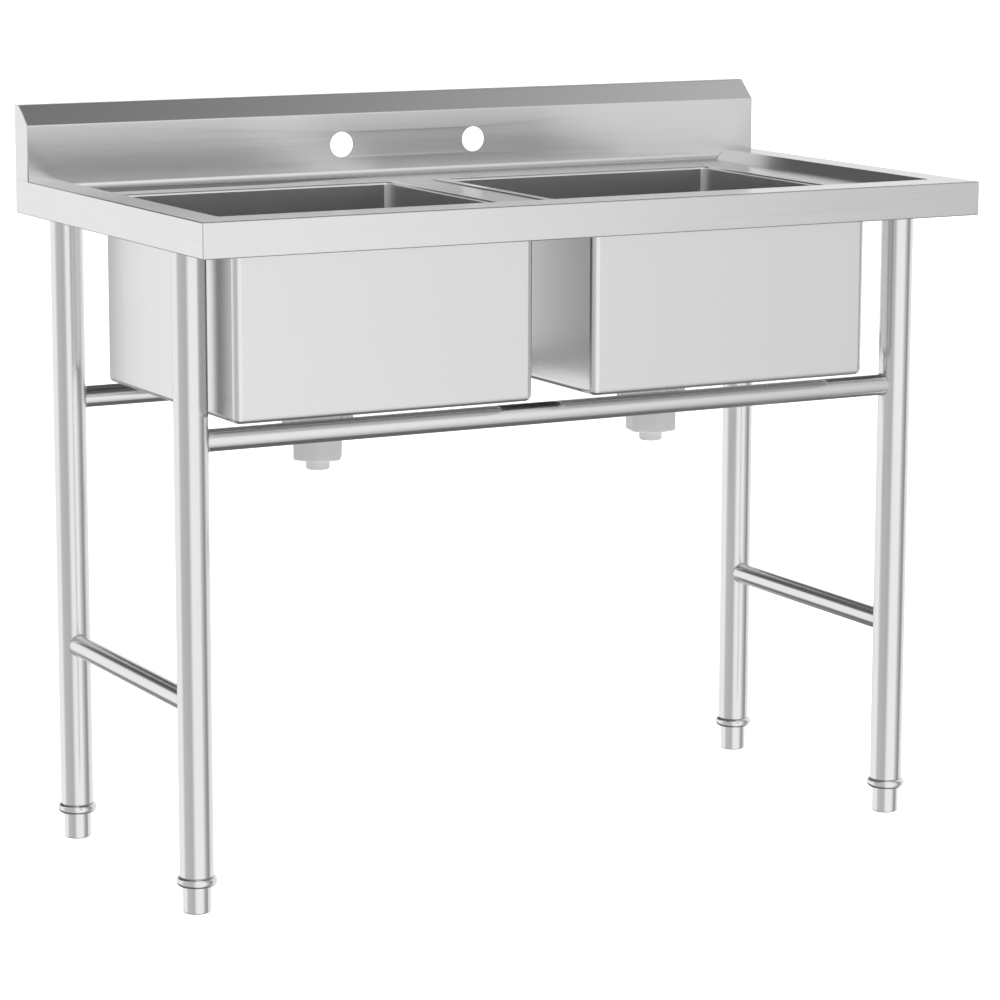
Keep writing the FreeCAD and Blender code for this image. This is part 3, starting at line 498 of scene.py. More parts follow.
def make_worktop():
    """The top sheet: three folded edges, the sunken deck with its cut-outs, and the rear apron ends."""
    left = worktop_profile(LEFT_RIM, SIDE_SLOPE)
    front = worktop_profile(FRONT_RIM, FRONT_SLOPE)
    right = worktop_profile(RIGHT_RIM, SIDE_SLOPE)
    last = len(front) - 1
    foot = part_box("left_bowl")[0][1] - WORK_FRONT - BOWL_GAP
    side_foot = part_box("left_bowl")[0][0] - WORK_LEFT
    front[last].x = min(front[last].x, foot)
    left[last].x = min(left[last].x, side_foot)
    rows = []
    for index in range(last + 1):
        x_left, x_right = WORK_LEFT + left[index].x, WORK_RIGHT - right[index].x
        y_front = WORK_FRONT + front[index].x
        radius = max(CORNER - front[index].x, 0.5 * MM)
        if index > last // 2:
            radius = INNER_CORNER
        row = [(x_left, SPLASH_FACE, left[index].y)]
        for centre_x, start, level_from, level_to in (
                (x_left + radius, math.pi, left[index].y, front[index].y),
                (x_right - radius, 1.5 * math.pi, front[index].y, right[index].y)):
            for step in range(CORNER_STEPS + 1):
                part = step / CORNER_STEPS
                angle = start + 0.5 * math.pi * part
                row.append((centre_x + radius * math.cos(angle), y_front + radius + radius * math.sin(angle),
                            level_from + (level_to - level_from) * part))
        row.append((x_right, SPLASH_FACE, right[index].y))
        rows.append(row)
    swept = surface(rows)

    cut_outs = []
    for side in ("left", "right"):
        low, high = bowl_box(side)
        cut_outs.append(rounded_rectangle(low[0] - BOWL_GAP, high[0] + BOWL_GAP, low[1] - BOWL_GAP,
                                          high[1] + BOWL_GAP, BOWL_CORNER + BOWL_GAP))
    outline = clear_of(flat(rows[-1]), cut_outs)
    deck = filled_faces(outline, cut_outs, lambda point: (point[0], point[1], DECK))

    ends = []
    for sign, edge, profile in ((1, WORK_LEFT, left), (-1, WORK_RIGHT, right)):
        section = [(edge + sign * inset, level) for inset, level in profile[:FOLD_STEPS + 3]] + [(edge, RIM)]
        ends.append(surface([[(x, y, z) for x, z in section] for y in (SPLASH_FACE, WALL)]))
    vertices, faces = joined([swept, deck] + ends, [(0, 0, 1), (0, 0, 1), (-1, 0, 0), (1, 0, 0)])
    piece = mesh_piece("worktop_sheet", vertices, faces, facing=(0, 0, 1))
    # The far side of the sheet takes the dark copy of the steel: painted shade under the deck.
    thicken(piece, SHEET, far_side_material=1)
    settle(piece, "root", sheet_steel, "worktop", along_sheet)
    piece.data.materials.append(shaded_underside_steel)


def clear_of(outline, holes):
    """Keeps the front and left of an outline just outside the cut-outs that come up to it."""
    margin = 0.2 * MM
    first_x = min(x for x, _y in outline)
    first_y = min(y for _x, y in outline)
    shift_x = min(0.0, min(x for hole in holes for x, _y in hole) - margin - first_x)
    shift_y = min(0.0, min(y for hole in holes for _x, y in hole) - margin - first_y)
    return [(x + (shift_x if x < first_x + INNER_CORNER else 0.0),
             y + (shift_y if y < first_y + INNER_CORNER else 0.0)) for x, y in outline]


def bowl_box(side):
    """The outside of a bowl's walls: the frame's box less the flange on the left, the right and the back."""
    low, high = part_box(f"{side}_bowl")
    left_reach = BOWL_LAND if side == "left" else BOWL_FLANGE
    return (low[0] + left_reach, low[1]), (high[0] - BOWL_FLANGE, high[1] - BOWL_FLANGE)


def make_bowl(side):
    """One bowl drawn from sheet: flange, rolled lip, walls, rounded foot and a floor around the drain."""
    low, high = bowl_box(side)
    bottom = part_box(f"{side}_bowl")[0][2]
    left_reach = BOWL_LAND if side == "left" else BOWL_FLANGE
    inner_low = (low[0] + SHEET, low[1] + SHEET)
    inner_high = (high[0] - SHEET, high[1] - SHEET)
    floor = bottom + SHEET
    corner = BOWL_CORNER - SHEET
    foot = BOWL_FOOT - SHEET
    rolls = (min(LIP, left_reach + SHEET), min(LIP, SHEET), LIP, LIP)      # left, front, right, back

    def ring(grow, level, radius):
        outline = rounded_rectangle(inner_low[0] - grow[0], inner_high[0] + grow[2],
                                    inner_low[1] - grow[1], inner_high[1] + grow[3], radius)
        return [(x, y, level) for x, y in outline]

    edge = (left_reach + SHEET, SHEET, BOWL_FLANGE + SHEET, BOWL_FLANGE + SHEET)
    rows = [ring(edge, FLANGE_TOP, FLANGE_CORNER)]
    angles = [0.5 * math.pi * step / (FOLD_STEPS + 2) for step in range(FOLD_STEPS + 3)]
    for angle in angles:
        grow = [roll * (1 - math.sin(angle)) for roll in rolls]
        rows.append(ring(grow, FLANGE_TOP - LIP * (1 - math.cos(angle)), corner + LIP * (1 - math.sin(angle))))
    for angle in angles:
        shrink = -foot * (1 - math.cos(angle))
        rows.append(ring([shrink] * 4, floor + foot * (1 - math.sin(angle)), max(corner + shrink, 0.6 * MM)))
    middle = ((inner_low[0] + inner_high[0]) / 2, (inner_low[1] + inner_high[1]) / 2)
    last = rows[-1]
    for part in (0.35, 0.7, 0.9, 1.0):
        row = []
        for x, y, z in last:
            angle = math.atan2(y - middle[1], x - middle[0])
            rim_x = middle[0] + DRAIN_HOLE * math.cos(angle)
            rim_y = middle[1] + DRAIN_HOLE * math.sin(angle)
            row.append((x + (rim_x - x) * part, y + (rim_y - y) * part, z))
        rows.append(row)
    piece = loft(f"{side}_bowl_shell", rows, facing=(0, 0, 1))
    thicken(piece, SHEET, far_side_material=2)
    settle(piece, "root", bowl_steel, f"{side}_bowl", along_bowl)
    # The rounded upright corners take the lighter copy of the bowl steel: a painted highlight down each
    # corner.
    for material in (corner_highlight_steel, bowl_steel, bowl_steel):
        piece.data.materials.append(material)
    for polygon in piece.data.polygons:
        slant = min(abs(polygon.normal.x), abs(polygon.normal.y))
        if slant > 0.15 and abs(polygon.normal.z) < 0.3:
            polygon.material_index = 1


def make_backsplash():
    """Cove, upright face with two holes, sloped band, flat top and return."""
    left, right = splash_low[0], splash_high[0]
    run = WALL - SPLASH_FACE - SPLASH_TOP
    bend = SPLASH_PEAK - BEVEL_RISE
    cove_top = DECK + COVE
    upper = rounded_path(
        [(SPLASH_FACE, cove_top), (SPLASH_FACE, bend), (SPLASH_FACE + run, SPLASH_PEAK), (WALL, SPLASH_PEAK),
         (WALL, SPLASH_PEAK - SPLASH_RETURN)], [FOLD, FOLD, FOLD])
    cove = [(SPLASH_FACE - COVE * (1 - math.sin(angle)), DECK + COVE * (1 - math.cos(angle)))
            for angle in (0.5 * math.pi * i / 8 for i in range(9))]

    def slope_reach(level):
        """How far the foot of the side slopes runs into the deck at a level."""
        return SIDE_SLOPE * (1 - (level - DECK) / RECESS_DROP)

    seams = {
        "left": [(WORK_LEFT + LEFT_RIM + slope_reach(z), y, z) for y, z in cove],
        "right": [(WORK_RIGHT - RIGHT_RIM - slope_reach(z), y, z) for y, z in cove],
    }
    cove_left, cove_right = seams["left"][-1][0], seams["right"][-1][0]
    cove_rows = [seams["left"], seams["right"]]
    fold = upper[1:]
    fold_rows = [[(x, y, z) for y, z in fold] for x in (left, right)]
    outline = [(left, cove_top), (cove_left, cove_top), (cove_right, cove_top), (right, cove_top),
               (right, fold[0].y), (left, fold[0].y)]
    holes = [flat(circle((sign * FAUCET_SPACING / 2, FAUCET_LEVEL), FAUCET_RADIUS, 0.0, FAUCET_STEPS))
             for sign in (-1, 1)]
    face = filled_faces(outline, holes, lambda point: (point[0], SPLASH_FACE, point[1]))
    vertices, faces = joined([face, surface(cove_rows), surface(fold_rows)],
                             [(0, -1, 0), (0, -1, 1), (0, -1, 2)])
    piece = mesh_piece("backsplash_sheet", vertices, faces, facing=(0, -1, 0))
    thicken(piece, SHEET)
    settle(piece, "root", sheet_steel, "backsplash", "x")
    for side, seam in seams.items():
        weld = wire(f"backsplash_{side}_seam", seam, 0.5 * MM)
        settle(weld, "root", weld_steel, even=False)


def make_end_cap(side, sign):
    """An end plate of the backsplash, with its outer edges eased except the one on the apron."""
    node = f"backsplash_{side}_cap"
    low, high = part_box(node)
    run = WALL - SPLASH_FACE - SPLASH_TOP
    section = [(SPLASH_FACE, RIM), (SPLASH_FACE, SPLASH_PEAK - BEVEL_RISE), (SPLASH_FACE + run, SPLASH_PEAK),
               (WALL, SPLASH_PEAK), (WALL, RIM)]
    count = len(section)
    vertices = [(x, y, z) for x in (low[0], high[0]) for y, z in section]
    faces = [tuple(range(count)), tuple(reversed(range(count, 2 * count)))]
    faces += [(i, (i + 1) % count, count + (i + 1) % count, count + i) for i in range(count)]
    piece = mesh_piece(f"{node}_plate", vertices, faces)
    weights = piece.data.attributes.new("bevel_weight_edge", "FLOAT", "EDGE")
    outer = low[0] if sign < 0 else high[0]
    for edge in piece.data.edges:
        ends = [piece.data.vertices[i].co for i in edge.vertices]
        is_outer = all(abs(end.x - outer) < 1e-5 for end in ends)
        on_apron = all(abs(end.z - RIM) < 1e-5 for end in ends)
        weights.data[edge.index].value = 1.0 if is_outer and not on_apron else 0.0
    ease(piece, 0.9 * MM, 3, "WEIGHT")
    settle(piece, "root", sheet_steel, node, "y")


def make_channel(side, left_top, right_top):
    """A folded stiffener that runs front to back, open at the top."""
    node = f"{side}_channel"
    low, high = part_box(node)
    section = [(low[0], left_top), (low[0], low[2]), (high[0], low[2]), (high[0], right_top)]
    folded = rounded_path(section, [FOLD, FOLD], 4)
    rows = [[(point.x, y, point.y) for point in folded] for y in (low[1], high[1])]
    piece = loft(f"{node}_fold", rows, closed=False, facing=(0, 0, -1))
    thicken(piece, CHANNEL_SHEET)
    settle(piece, "root", mill_steel, node, "y")


# -------------------- stand

def make_leg(name):
    """A leg tube; gives its axis and its radius."""
    centre = axis_of(f"{name}_leg")
    radius, bottom, top = round_sizes(f"{name}_leg")
    eased = 0.4 * MM
    profile = [(radius - TUBE_WALL, bottom), (radius - eased, bottom), (radius, bottom + eased),
               (radius, top), (radius - TUBE_WALL, top)]
    piece = turned(f"{name}_leg_tube", centre, profile)
    settle(piece, "root", tube_steel, f"{name}_leg")
    return centre, radius


def make_rail(node, axis, ends, leg_radius):
    """A tube between two legs, with saddle ends and a small weld bead around each."""
    low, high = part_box(node)
    other = 1 - axis
    across = (low[other] + high[other]) / 2
    level = (low[2] + high[2]) / 2
    radius = (high[2] - low[2]) / 2
    bore = radius - TUBE_WALL

    def saddle(reach, end, sign, lift=0.0):
        row = []
        for i in range(ROUND_STEPS):
            turn = math.tau * i / ROUND_STEPS
            side = reach * math.cos(turn)
            run = math.sqrt((leg_radius + lift) ** 2 - min(side * side, (leg_radius + lift) ** 2))
            place = [0.0, 0.0, level + reach * math.sin(turn)]
            place[axis] = end + sign * run
            place[other] = across + side
            row.append(tuple(place))
        return row

    rows = [saddle(radius, ends[0], 1), saddle(radius, ends[1], -1), saddle(bore, ends[1], -1),
            saddle(bore, ends[0], 1)]
    rows.append(rows[0])
    piece = loft(f"{node}_tube", rows)
    settle(piece, "root", tube_steel, node, "x" if axis == 0 else "y")

    bead = 1.1 * MM
    for index, (end, sign) in enumerate(((ends[0], 1), (ends[1], -1))):
        bead_rows = []
        for step in range(9):
            angle = 0.5 * math.pi * (step / 4 - 0.5)
            bead_rows.append(saddle(radius + bead * max(math.cos(angle), 0.0) * 0.9, end, sign,
                                    lift=bead * (0.5 + 0.5 * math.sin(angle))))
        weld = loft(f"{node}_weld_{index}", bead_rows)
        settle(weld, "root", weld_steel, even=False)


def make_leg_insert(name, centre):
    """The rounded ring at the end of a leg, with its plug inside the tube."""
    node = f"{name}_leg_insert"
    ring, bottom, top = round_sizes(node)
    ring_top = round_sizes(f"{name}_leg")[1]
    bore = round_sizes(f"{name}_foot")[0] + 0.4 * MM
    plug = round_sizes(f"{name}_socket")[0]
    half = (ring_top - bottom) / 2
    roll = half * 0.94
    middle = bottom + half
    steps = 14
    profile = [(bore, top), (bore, bottom)]
    for step in range(steps + 1):
        angle = -0.5 * math.pi + math.pi * step / steps
        profile.append((ring - roll + roll * math.cos(angle), middle + half * math.sin(angle)))
    profile += [(plug, ring_top), (plug, top)]
    piece = turned(f"{node}_ring", centre, profile)
    settle(piece, "root", tube_steel, node)


def make_foot(name, centre):
    """A hollow foot with a rounded lower edge and a dished sole."""
    node = f"{name}_foot"
    radius, bottom, top = round_sizes(node)
    wall = 2.0 * MM
    ease_radius = 2.0 * MM
    base = 5.0 * MM
    dish = 0.6 * MM
    profile = [(0.0, bottom + dish), (radius * 0.55, bottom + dish), (radius * 0.62, bottom)]
    for step in range(7):
        angle = -0.5 * math.pi + 0.5 * math.pi * step / 6
        profile.append((radius - ease_radius + ease_radius * math.cos(angle),
                        bottom + ease_radius + ease_radius * math.sin(angle)))
    profile += [(radius, top - 0.5 * MM), (radius - 0.5 * MM, top), (radius - wall, top),
                (radius - wall, bottom + base), (0.0, bottom + base)]
    piece = turned(f"{node}_shell", centre, profile, closed_profile=False)
    settle(piece, node, tube_steel, node)


def make_set_screws(legs):
    """Socket set screws in the backs of the legs, standing a little proud."""
    low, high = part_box("leg_set_screws")
    level = (low[2] + high[2]) / 2
    radius = (high[2] - low[2]) / 2
    sides = 36
    rings = [(radius, -4.0 * MM, False), (radius, -0.5 * MM, False), (radius - 0.5 * MM, 0.0, False),
             (radius * 0.58, 0.0, True), (radius * 0.55, -2.0 * MM, True)]
    vertices, faces = [], []
    for centre, leg_radius in legs:
        face_y = centre[1] + leg_radius + 0.8 * MM
        rows = []
        for reach, depth, is_hexagon in rings:
            row = []
            for i in range(sides):
                turn = math.tau * i / sides
                share = 1.0
                if is_hexagon:
                    share = math.cos(math.pi / 6) / math.cos(turn % (math.pi / 3) - math.pi / 6)
                row.append((centre[0] + reach * share * math.cos(turn), face_y + depth,
                            level + reach * share * math.sin(turn)))
            rows.append(row)
        screw_vertices, screw_faces = surface(rows, closed=True)
        socket_floor = tuple(range(len(screw_vertices) - sides, len(screw_vertices)))
        screw_faces += [socket_floor, tuple(reversed(range(sides)))]
        faces += [tuple(i + len(vertices) for i in face) for face in screw_faces]
        vertices += screw_vertices
    piece = mesh_piece("leg_set_screw_heads", vertices, faces)
    settle(piece, "root", plated_steel, "leg_set_screws")


# -------------------- drains

def make_pressing(node, body, centre, section, rings, gauge):
    """A turned pressing from rim to floor; the flat floor has rings of round holes (ring, hole, count)."""
    floor_reach, floor = section[-1]
    holes = []
    for ring, hole, count in rings:
        for index in range(count):
            turn = math.tau * index / count
            place = (centre[0] + ring * math.cos(turn), centre[1] + ring * math.sin(turn))
            holes.append(flat(circle(place, hole, floor, HOLE_STEPS)))
    outline = flat(circle(centre, floor_reach, floor))
    disc = filled_faces(outline, holes, lambda point: (point[0], point[1], floor))
    side_rows = [circle(centre, radius, level) for radius, level in section]
    vertices, faces = joined([surface(side_rows, closed=True), disc], [(0, 0, 1), (0, 0, 1)])
    piece = mesh_piece(f"{node}_pressing", vertices, faces, facing=(0, 0, 1))
    thicken(piece, gauge)
    settle(piece, body, cup_steel, node)


def make_strainer(side, centre):
    """The cup that is clamped into the bowl floor."""
    node = f"{side}_strainer_cup"
    flange, bottom, top = round_sizes(node)
    wall = 42.0 * MM - SHEET
    floor = bottom + SHEET
    floor_reach = 34.0 * MM
    section = rounded_path([(flange, top - 0.7 * MM), (flange - 1.5 * MM, top), (wall, top),
                            (wall, floor), (floor_reach, floor)], [1.0 * MM, 1.6 * MM, 4.0 * MM])
    make_pressing(node, "root", centre, section, [(24.0 * MM, 5.0 * MM, 8)], SHEET * 0.6)


def make_basket(side, centre):
    """The lift-out basket: rolled rim, holed floor, and a moulded knob."""
    body = f"{side}_basket"
    rim, bottom, top = round_sizes(body)
    gauge = 0.8 * MM
    wall = 38.0 * MM - gauge
    floor = bottom + gauge
    floor_reach = 32.0 * MM
    section = rounded_path([(rim, top - 0.5 * MM), (rim - 1.0 * MM, top), (wall, top),
                            (wall, floor), (floor_reach, floor)], [0.6 * MM, 1.4 * MM, 3.0 * MM])
    make_pressing(body, body, centre, section, [(24.0 * MM, 3.6 * MM, 12), (13.0 * MM, 2.6 * MM, 8)], gauge)

    node = f"{side}_basket_knob"
    head, bottom, top = round_sizes(node)
    stem = 3.0 * MM
    head_bottom = top - 7.0 * MM
    profile = rounded_path(
        [(0.0, bottom), (stem + 2.5 * MM, bottom), (stem, bottom + 3.0 * MM), (stem, head_bottom),
         (head * 0.8, head_bottom), (head, top - 3.0 * MM), (head * 0.85, top), (0.0, top - 0.8 * MM)],
        [0.6 * MM, 1.0 * MM, 1.0 * MM, 1.2 * MM, 1.6 * MM, 1.4 * MM], 4)
    knob = turned(f"{node}_moulding", centre, profile, closed_profile=False, steps=48)
    settle(knob, body, black_knob, node)


def make_drain_body(side, centre):
    """The plastic body under the bowl: a flange, a ribbed barrel and the outlet that takes the nut."""
    node = f"{side}_drain_body"
    flange, bottom, _top = round_sizes(node)
    flange_top = round_sizes(f"{side}_gasket")[1]
    flange_bottom = flange_top - 4.0 * MM
    barrel = 45.0 * MM
    skirt = barrel - 1.0 * MM
    barrel_bottom = 562.0 * MM
    barrel_floor = barrel_bottom + 5.0 * MM
    pipe = 23.9 * MM
    bore = 42.4 * MM
    outlet = 19.5 * MM
    profile = rounded_path(
        [(bore, flange_top), (flange, flange_top), (flange, flange_bottom), (skirt, flange_bottom),
         (skirt, barrel_bottom), (pipe, barrel_bottom), (pipe, bottom), (outlet, bottom),
         (outlet, barrel_floor), (bore, barrel_floor), (bore, flange_top)],
        [0.8 * MM, 0.8 * MM, 1.2 * MM, 4.0 * MM, 1.5 * MM, 0.6 * MM, 0.6 * MM, 0.8 * MM, 1.0 * MM], 4)
    piece = turned(f"{node}_moulding", centre, profile, closed_profile=False)
    settle(piece, "root", grey_plastic, node)

    ribs = 20
    vertices, faces = [], []
    for index in range(ribs):
        turn = math.tau * index / ribs
        cos, sin = math.cos(turn), math.sin(turn)
        half = 0.9 * MM
        inner, outer = barrel - 2.0 * MM, barrel + 0.6 * MM
        rib_bottom, rib_top = barrel_floor, flange_bottom - 0.5 * MM
        foot = rib_bottom + 2.0 * MM
        corners = [(inner, -half, rib_bottom), (outer, -half, foot), (outer, half, foot),
                   (inner, half, rib_bottom), (inner, -half, rib_top), (outer, -half, rib_top),
                   (outer, half, rib_top), (inner, half, rib_top)]
        offset = len(vertices)
        vertices += [(centre[0] + r * cos - w * sin, centre[1] + r * sin + w * cos, z) for r, w, z in corners]
        faces += [tuple(offset + i for i in face) for face in
                  ((0, 1, 2, 3), (4, 7, 6, 5), (0, 4, 5, 1), (1, 5, 6, 2), (2, 6, 7, 3), (3, 7, 4, 0))]
    rib_piece = mesh_piece(f"{node}_grip_ribs", vertices, faces)
    ease(rib_piece, 0.3 * MM, 2, "ANGLE")
    settle(rib_piece, "root", grey_plastic, even=False)


def make_slip_nut(side, centre, turn):
    """A six-sided nut with soft corners, a bevelled lower edge and a rolled upper edge."""
    node = f"{side}_slip_nut"
    _reach, bottom, top = round_sizes(node)
    apothem = 30.0 * MM
    soft = 5.0 * MM

    mouth = 15.9 * MM
    thread = 24.0 * MM
    thread_start = bottom + 3.0 * MM
    arc_steps = 8

    def fan():
        """The directions of the corners, each with the directions across its arc."""
        for corner in range(6):
            middle = turn + corner * math.pi / 3
            yield middle, [middle + (step / arc_steps - 0.5) * math.pi / 3 for step in range(arc_steps + 1)]

    def hexagon(inset, level):
        """Six arcs joined by flats."""
        corner_reach = (apothem - inset - soft) / math.cos(math.pi / 6)
        return [(centre[0] + corner_reach * math.cos(middle) + soft * math.cos(angle),
                 centre[1] + corner_reach * math.sin(middle) + soft * math.sin(angle), level)
                for middle, angles in fan() for angle in angles]

    def bore(radius, level):
        return [(centre[0] + radius * math.cos(angle), centre[1] + radius * math.sin(angle), level)
                for _middle, angles in fan() for angle in angles]

    rows = [bore(mouth, bottom), hexagon(2.6 * MM, bottom), hexagon(0.9 * MM, bottom + 0.8 * MM),
            hexagon(0.0, bottom + 2.6 * MM), hexagon(0.0, top - 1.6 * MM), hexagon(0.5 * MM, top - 0.5 * MM),
            hexagon(1.6 * MM, top), bore(thread, top), bore(thread, thread_start),
            bore(mouth, thread_start), bore(mouth, bottom)]
    piece = loft(f"{node}_moulding", rows)
    settle(piece, "root", grey_plastic, node)


def make_tailpiece(side, centre):
    """The outlet pipe under the slip nut, with a collar at its upper end."""
    node = f"{side}_tailpiece"
    collar, bottom, top = round_sizes(node)
    outer, bore = 15.2 * MM, 12.5 * MM
    roll = 2.4 * MM
    collar_bottom = top - 3.0 * MM
    profile = [(bore, top), (bore, bottom + 0.4 * MM), (bore + 0.3 * MM, bottom)]
    for step in range(9):
        angle = -0.5 * math.pi + 0.5 * math.pi * step / 8
        profile.append((outer - roll + roll * math.cos(angle), bottom + roll + roll * math.sin(angle)))
    profile += [(outer, collar_bottom), (collar, collar_bottom), (collar, top)]
    piece = turned(f"{node}_moulding", centre, profile)
    settle(piece, "root", grey_plastic, node)


def make_gasket(side, centre):
    """The rubber ring between the bowl floor and the drain body."""
    node = f"{side}_gasket"
    outer, bottom, top = round_sizes(node)
    bulge = 0.5 * MM
    middle = (bottom + top) / 2
    profile = [(DRAIN_HOLE, bottom), (outer - bulge, bottom), (outer, middle - bulge), (outer, middle + bulge),
               (outer - bulge, top), (DRAIN_HOLE, top)]
    piece = turned(f"{node}_ring", centre, profile)
    settle(piece, "root", black_rubber, node)


# -------------------- studio

CAMERA_PLACE = (-2.27565, -4.22716, 1.32791)
CAMERA_YAW = math.radians(28.345)
CAMERA_PITCH = math.radians(10.406)
CAMERA_ROLL = math.radians(0.121)
CAMERA_LENS = 133.08


def make_camera():
    """A long lens, to the left of the sink and a little above it."""
    data = bpy.data.cameras.new("camera")
    data.lens = CAMERA_LENS
    data.sensor_width = 36.0
    data.clip_end = 200.0
    camera = bpy.data.objects.new("camera", data)
    bpy.context.scene.collection.objects.link(camera)
    forward = math.cos(CAMERA_PITCH)
    ahead = Vector((math.sin(CAMERA_YAW) * forward, math.cos(CAMERA_YAW) * forward, -math.sin(CAMERA_PITCH)))
    level_right = Vector((math.cos(CAMERA_YAW), -math.sin(CAMERA_YAW), 0.0))
    level_up = level_right.cross(ahead)
    cos, sin = math.cos(CAMERA_ROLL), math.sin(CAMERA_ROLL)
    right = level_right * cos + level_up * sin
    up = level_up * cos - level_right * sin
    turn = Matrix((right, up, -ahead)).transposed()
    camera.matrix_world = Matrix.Translation(CAMERA_PLACE) @ turn.to_4x4()
    bpy.context.scene.camera = camera


def ramp_nodes(nodes, links, value, stops):
    """A grey ramp over 0 to 1."""
    ramp = nodes.new("ShaderNodeValToRGB")
    ramp.color_ramp.interpolation = "EASE"
    elements = ramp.color_ramp.elements
    while len(elements) > 1:
        elements.remove(elements[-1])
    elements[0].position = stops[0][0]
    elements[0].color = (stops[0][1],) * 3 + (1.0,)
    for position, level in stops[1:]:
        element = elements.new(position)
        element.color = (level,) * 3 + (1.0,)
    links.new(value, ramp.inputs["Fac"])
    return ramp.outputs["Color"]


HEIGHT_SPAN = 1.2           # the weighed heights that a ramp covers, up and down


def weighed(nodes, links, split, share):
    """Height of a direction plus a share of how far it points to the wall, its span brought to 0 to 1."""
    leaning = computed(nodes, links, "MULTIPLY_ADD", split.outputs["Y"], share, split.outputs["Z"])
    spread = nodes.new("ShaderNodeMapRange")
    spread.inputs["From Min"].default_value = -HEIGHT_SPAN
    spread.inputs["From Max"].default_value = HEIGHT_SPAN
    links.new(leaning, spread.inputs["Value"])
    return spread.outputs["Result"]


def multiplied(nodes, links, first, second):
    """The product of two colours."""
    product = nodes.new("ShaderNodeMix")
    product.data_type = "RGBA"
    product.blend_type = "MULTIPLY"
    product.inputs["Factor"].default_value = 1.0
    links.new(first, product.inputs["A"])
    links.new(second, product.inputs["B"])
    return product.outputs["Result"]


def make_world():
    """A studio shell: bright at the horizon, dark overhead and underfoot, grey at both sides."""
    world = bpy.data.worlds.new("studio")
    bpy.context.scene.world = world
    world.use_nodes = True
    nodes, links = world.node_tree.nodes, world.node_tree.links
    background = nodes["Background"]
    direction = nodes.new("ShaderNodeTexCoord")
    split = nodes.new("ShaderNodeSeparateXYZ")
    links.new(direction.outputs["Generated"], split.inputs["Vector"])

    def level(value):
        return (value + HEIGHT_SPAN) / (2 * HEIGHT_SPAN)

    def heading(degrees):
        return 0.5 + degrees / 360.0

    ceiling = ramp_nodes(nodes, links, weighed(nodes, links, split, 0.68), [
        (level(0.79), 1.0), (level(0.86), 0.86), (level(0.90), 0.40), (level(0.95), 0.10), (level(1.2), 0.12)])
    ground = ramp_nodes(nodes, links, weighed(nodes, links, split, -0.45), [
        (level(-1.0), 0.16), (level(-0.80), 0.22), (level(-0.70), 1.0)])

    toward_front = computed(nodes, links, "MULTIPLY", split.outputs["Y"], -1.0)
    angle = computed(nodes, links, "ARCTAN2", split.outputs["X"], toward_front)
    turn = computed(nodes, links, "MULTIPLY_ADD", angle, 1.0 / math.tau, 0.5)
    around = ramp_nodes(nodes, links, turn, [
        (heading(-180), 0.95), (heading(-118), 1.0), (heading(-100), 0.58), (heading(-46), 0.52),
        (heading(-26), 1.0), (heading(26), 1.0), (heading(35), 0.66), (heading(46), 0.55), (heading(54), 0.34),
        (heading(72), 0.34), (heading(82), 0.90), (heading(180), 0.95)])
    shell = multiplied(nodes, links, multiplied(nodes, links, ceiling, ground), around)
    links.new(shell, background.inputs["Color"])
    background.inputs["Strength"].default_value = 1.14


def make_softbox(name, place, target, size, power):
    """A soft light that neither the camera nor a reflection shows."""
    data = bpy.data.lights.new(name, "AREA")
    data.shape = "RECTANGLE"
    data.size, data.size_y = size
    data.energy = power
    light = bpy.data.objects.new(name, data)
    bpy.context.scene.collection.objects.link(light)
    light.location = place
    light.rotation_euler = (Vector(target) - Vector(place)).to_track_quat("-Z", "Y").to_euler()
    light.visible_camera = False
    light.visible_glossy = False


def make_floor():
    """A pale floor that reaches past the horizon of the picture."""
    reach = 60.0
    mesh = bpy.data.meshes.new("floor")
    mesh.from_pydata([(-reach, -reach, 0), (reach, -reach, 0), (reach, reach, 0), (-reach, reach, 0)], [],
                     [(0, 1, 2, 3)])
    floor = link(mesh, "floor")
    material, nodes, links, shader = new_material("pale_floor")
    place = nodes.new("ShaderNodeTexCoord")
    cloud = stretched_noise(nodes, links, place.outputs["Object"], (0.8, 0.8, 0.8), 2.0)
    links.new(tinted(nodes, links, cloud, (0.88, 0.88, 0.88), (0.90, 0.90, 0.90)), shader.inputs["Base Color"])
    shader.inputs["Roughness"].default_value = 0.9
    shader.inputs["Specular IOR Level"].default_value = 0.1
    shader.inputs["Emission Color"].default_value = (1.0, 1.0, 1.0, 1.0)
    shader.inputs["Emission Strength"].default_value = 0.85
    mesh.materials.append(material)
    floor.visible_glossy = False


# -------------------- assembly

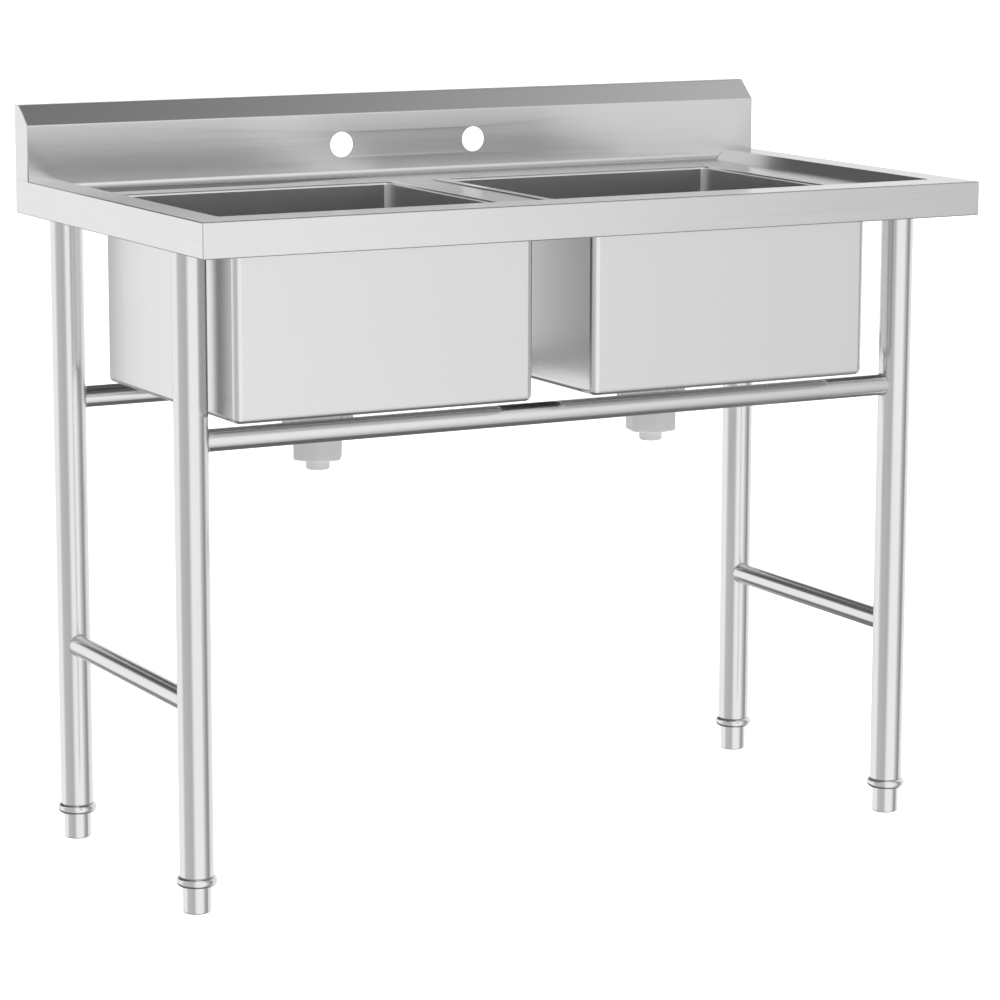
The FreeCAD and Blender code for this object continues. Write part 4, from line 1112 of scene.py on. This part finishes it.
make_camera()
make_world()
make_softbox("overhead_right", (2.6, 0.1, 4.0), (0.4, 0.1, 0.9), (2.4, 3.0), 40.0)
make_floor()

make_worktop()
make_backsplash()
for cap_side, cap_sign in (("left", -1), ("right", 1)):
    make_end_cap(cap_side, cap_sign)
UNDER_DECK = DECK - SHEET
make_channel("left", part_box("left_channel")[1][2], UNDER_DECK)
make_channel("right", UNDER_DECK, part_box("right_channel")[1][2])
make_channel("centre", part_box("centre_channel")[1][2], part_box("centre_channel")[1][2])

legs = {}
for leg_name in ("front_left", "front_right", "rear_left", "rear_right"):
    legs[leg_name] = make_leg(leg_name)
    make_leg_insert(leg_name, legs[leg_name][0])
    make_foot(leg_name, legs[leg_name][0])
for rail_name, rail_axis, first_name, last_name in (
        ("front_rail", 0, "front_left", "front_right"), ("rear_rail", 0, "rear_left", "rear_right"),
        ("left_side_rail", 1, "front_left", "rear_left"), ("right_side_rail", 1, "front_right", "rear_right")):
    (first_leg, tube_radius), (last_leg, _radius) = legs[first_name], legs[last_name]
    make_rail(rail_name, rail_axis, (first_leg[rail_axis], last_leg[rail_axis]), tube_radius)
make_set_screws(list(legs.values()))

for side_name, nut_turn in (("left", 0.0), ("right", math.radians(17.0))):
    make_bowl(side_name)
    drain_axis = axis_of(f"{side_name}_gasket")
    make_strainer(side_name, drain_axis)
    make_basket(side_name, drain_axis)
    make_gasket(side_name, drain_axis)
    make_drain_body(side_name, drain_axis)
    make_slip_nut(side_name, drain_axis, nut_turn)
    make_tailpiece(side_name, drain_axis)

# Pieces that stay as they are in the frame, out of sight inside tubes and drains.
hidden = {f"{leg_name}_socket": mill_steel for leg_name in legs}
hidden.update({f"{leg_name}_foot_stud": plated_steel for leg_name in legs})
for side_name in ("left", "right"):
    hidden[f"{side_name}_clamp_screw"] = plated_steel
    hidden[f"{side_name}_slip_washer"] = black_rubber
for node_name, material in hidden.items():
    for slot in frame["nodes"][node_name].material_slots:
        slot.material = material

bpy.context.scene.view_settings.view_transform = "Standard"
bpy.context.scene.view_settings.look = "None"
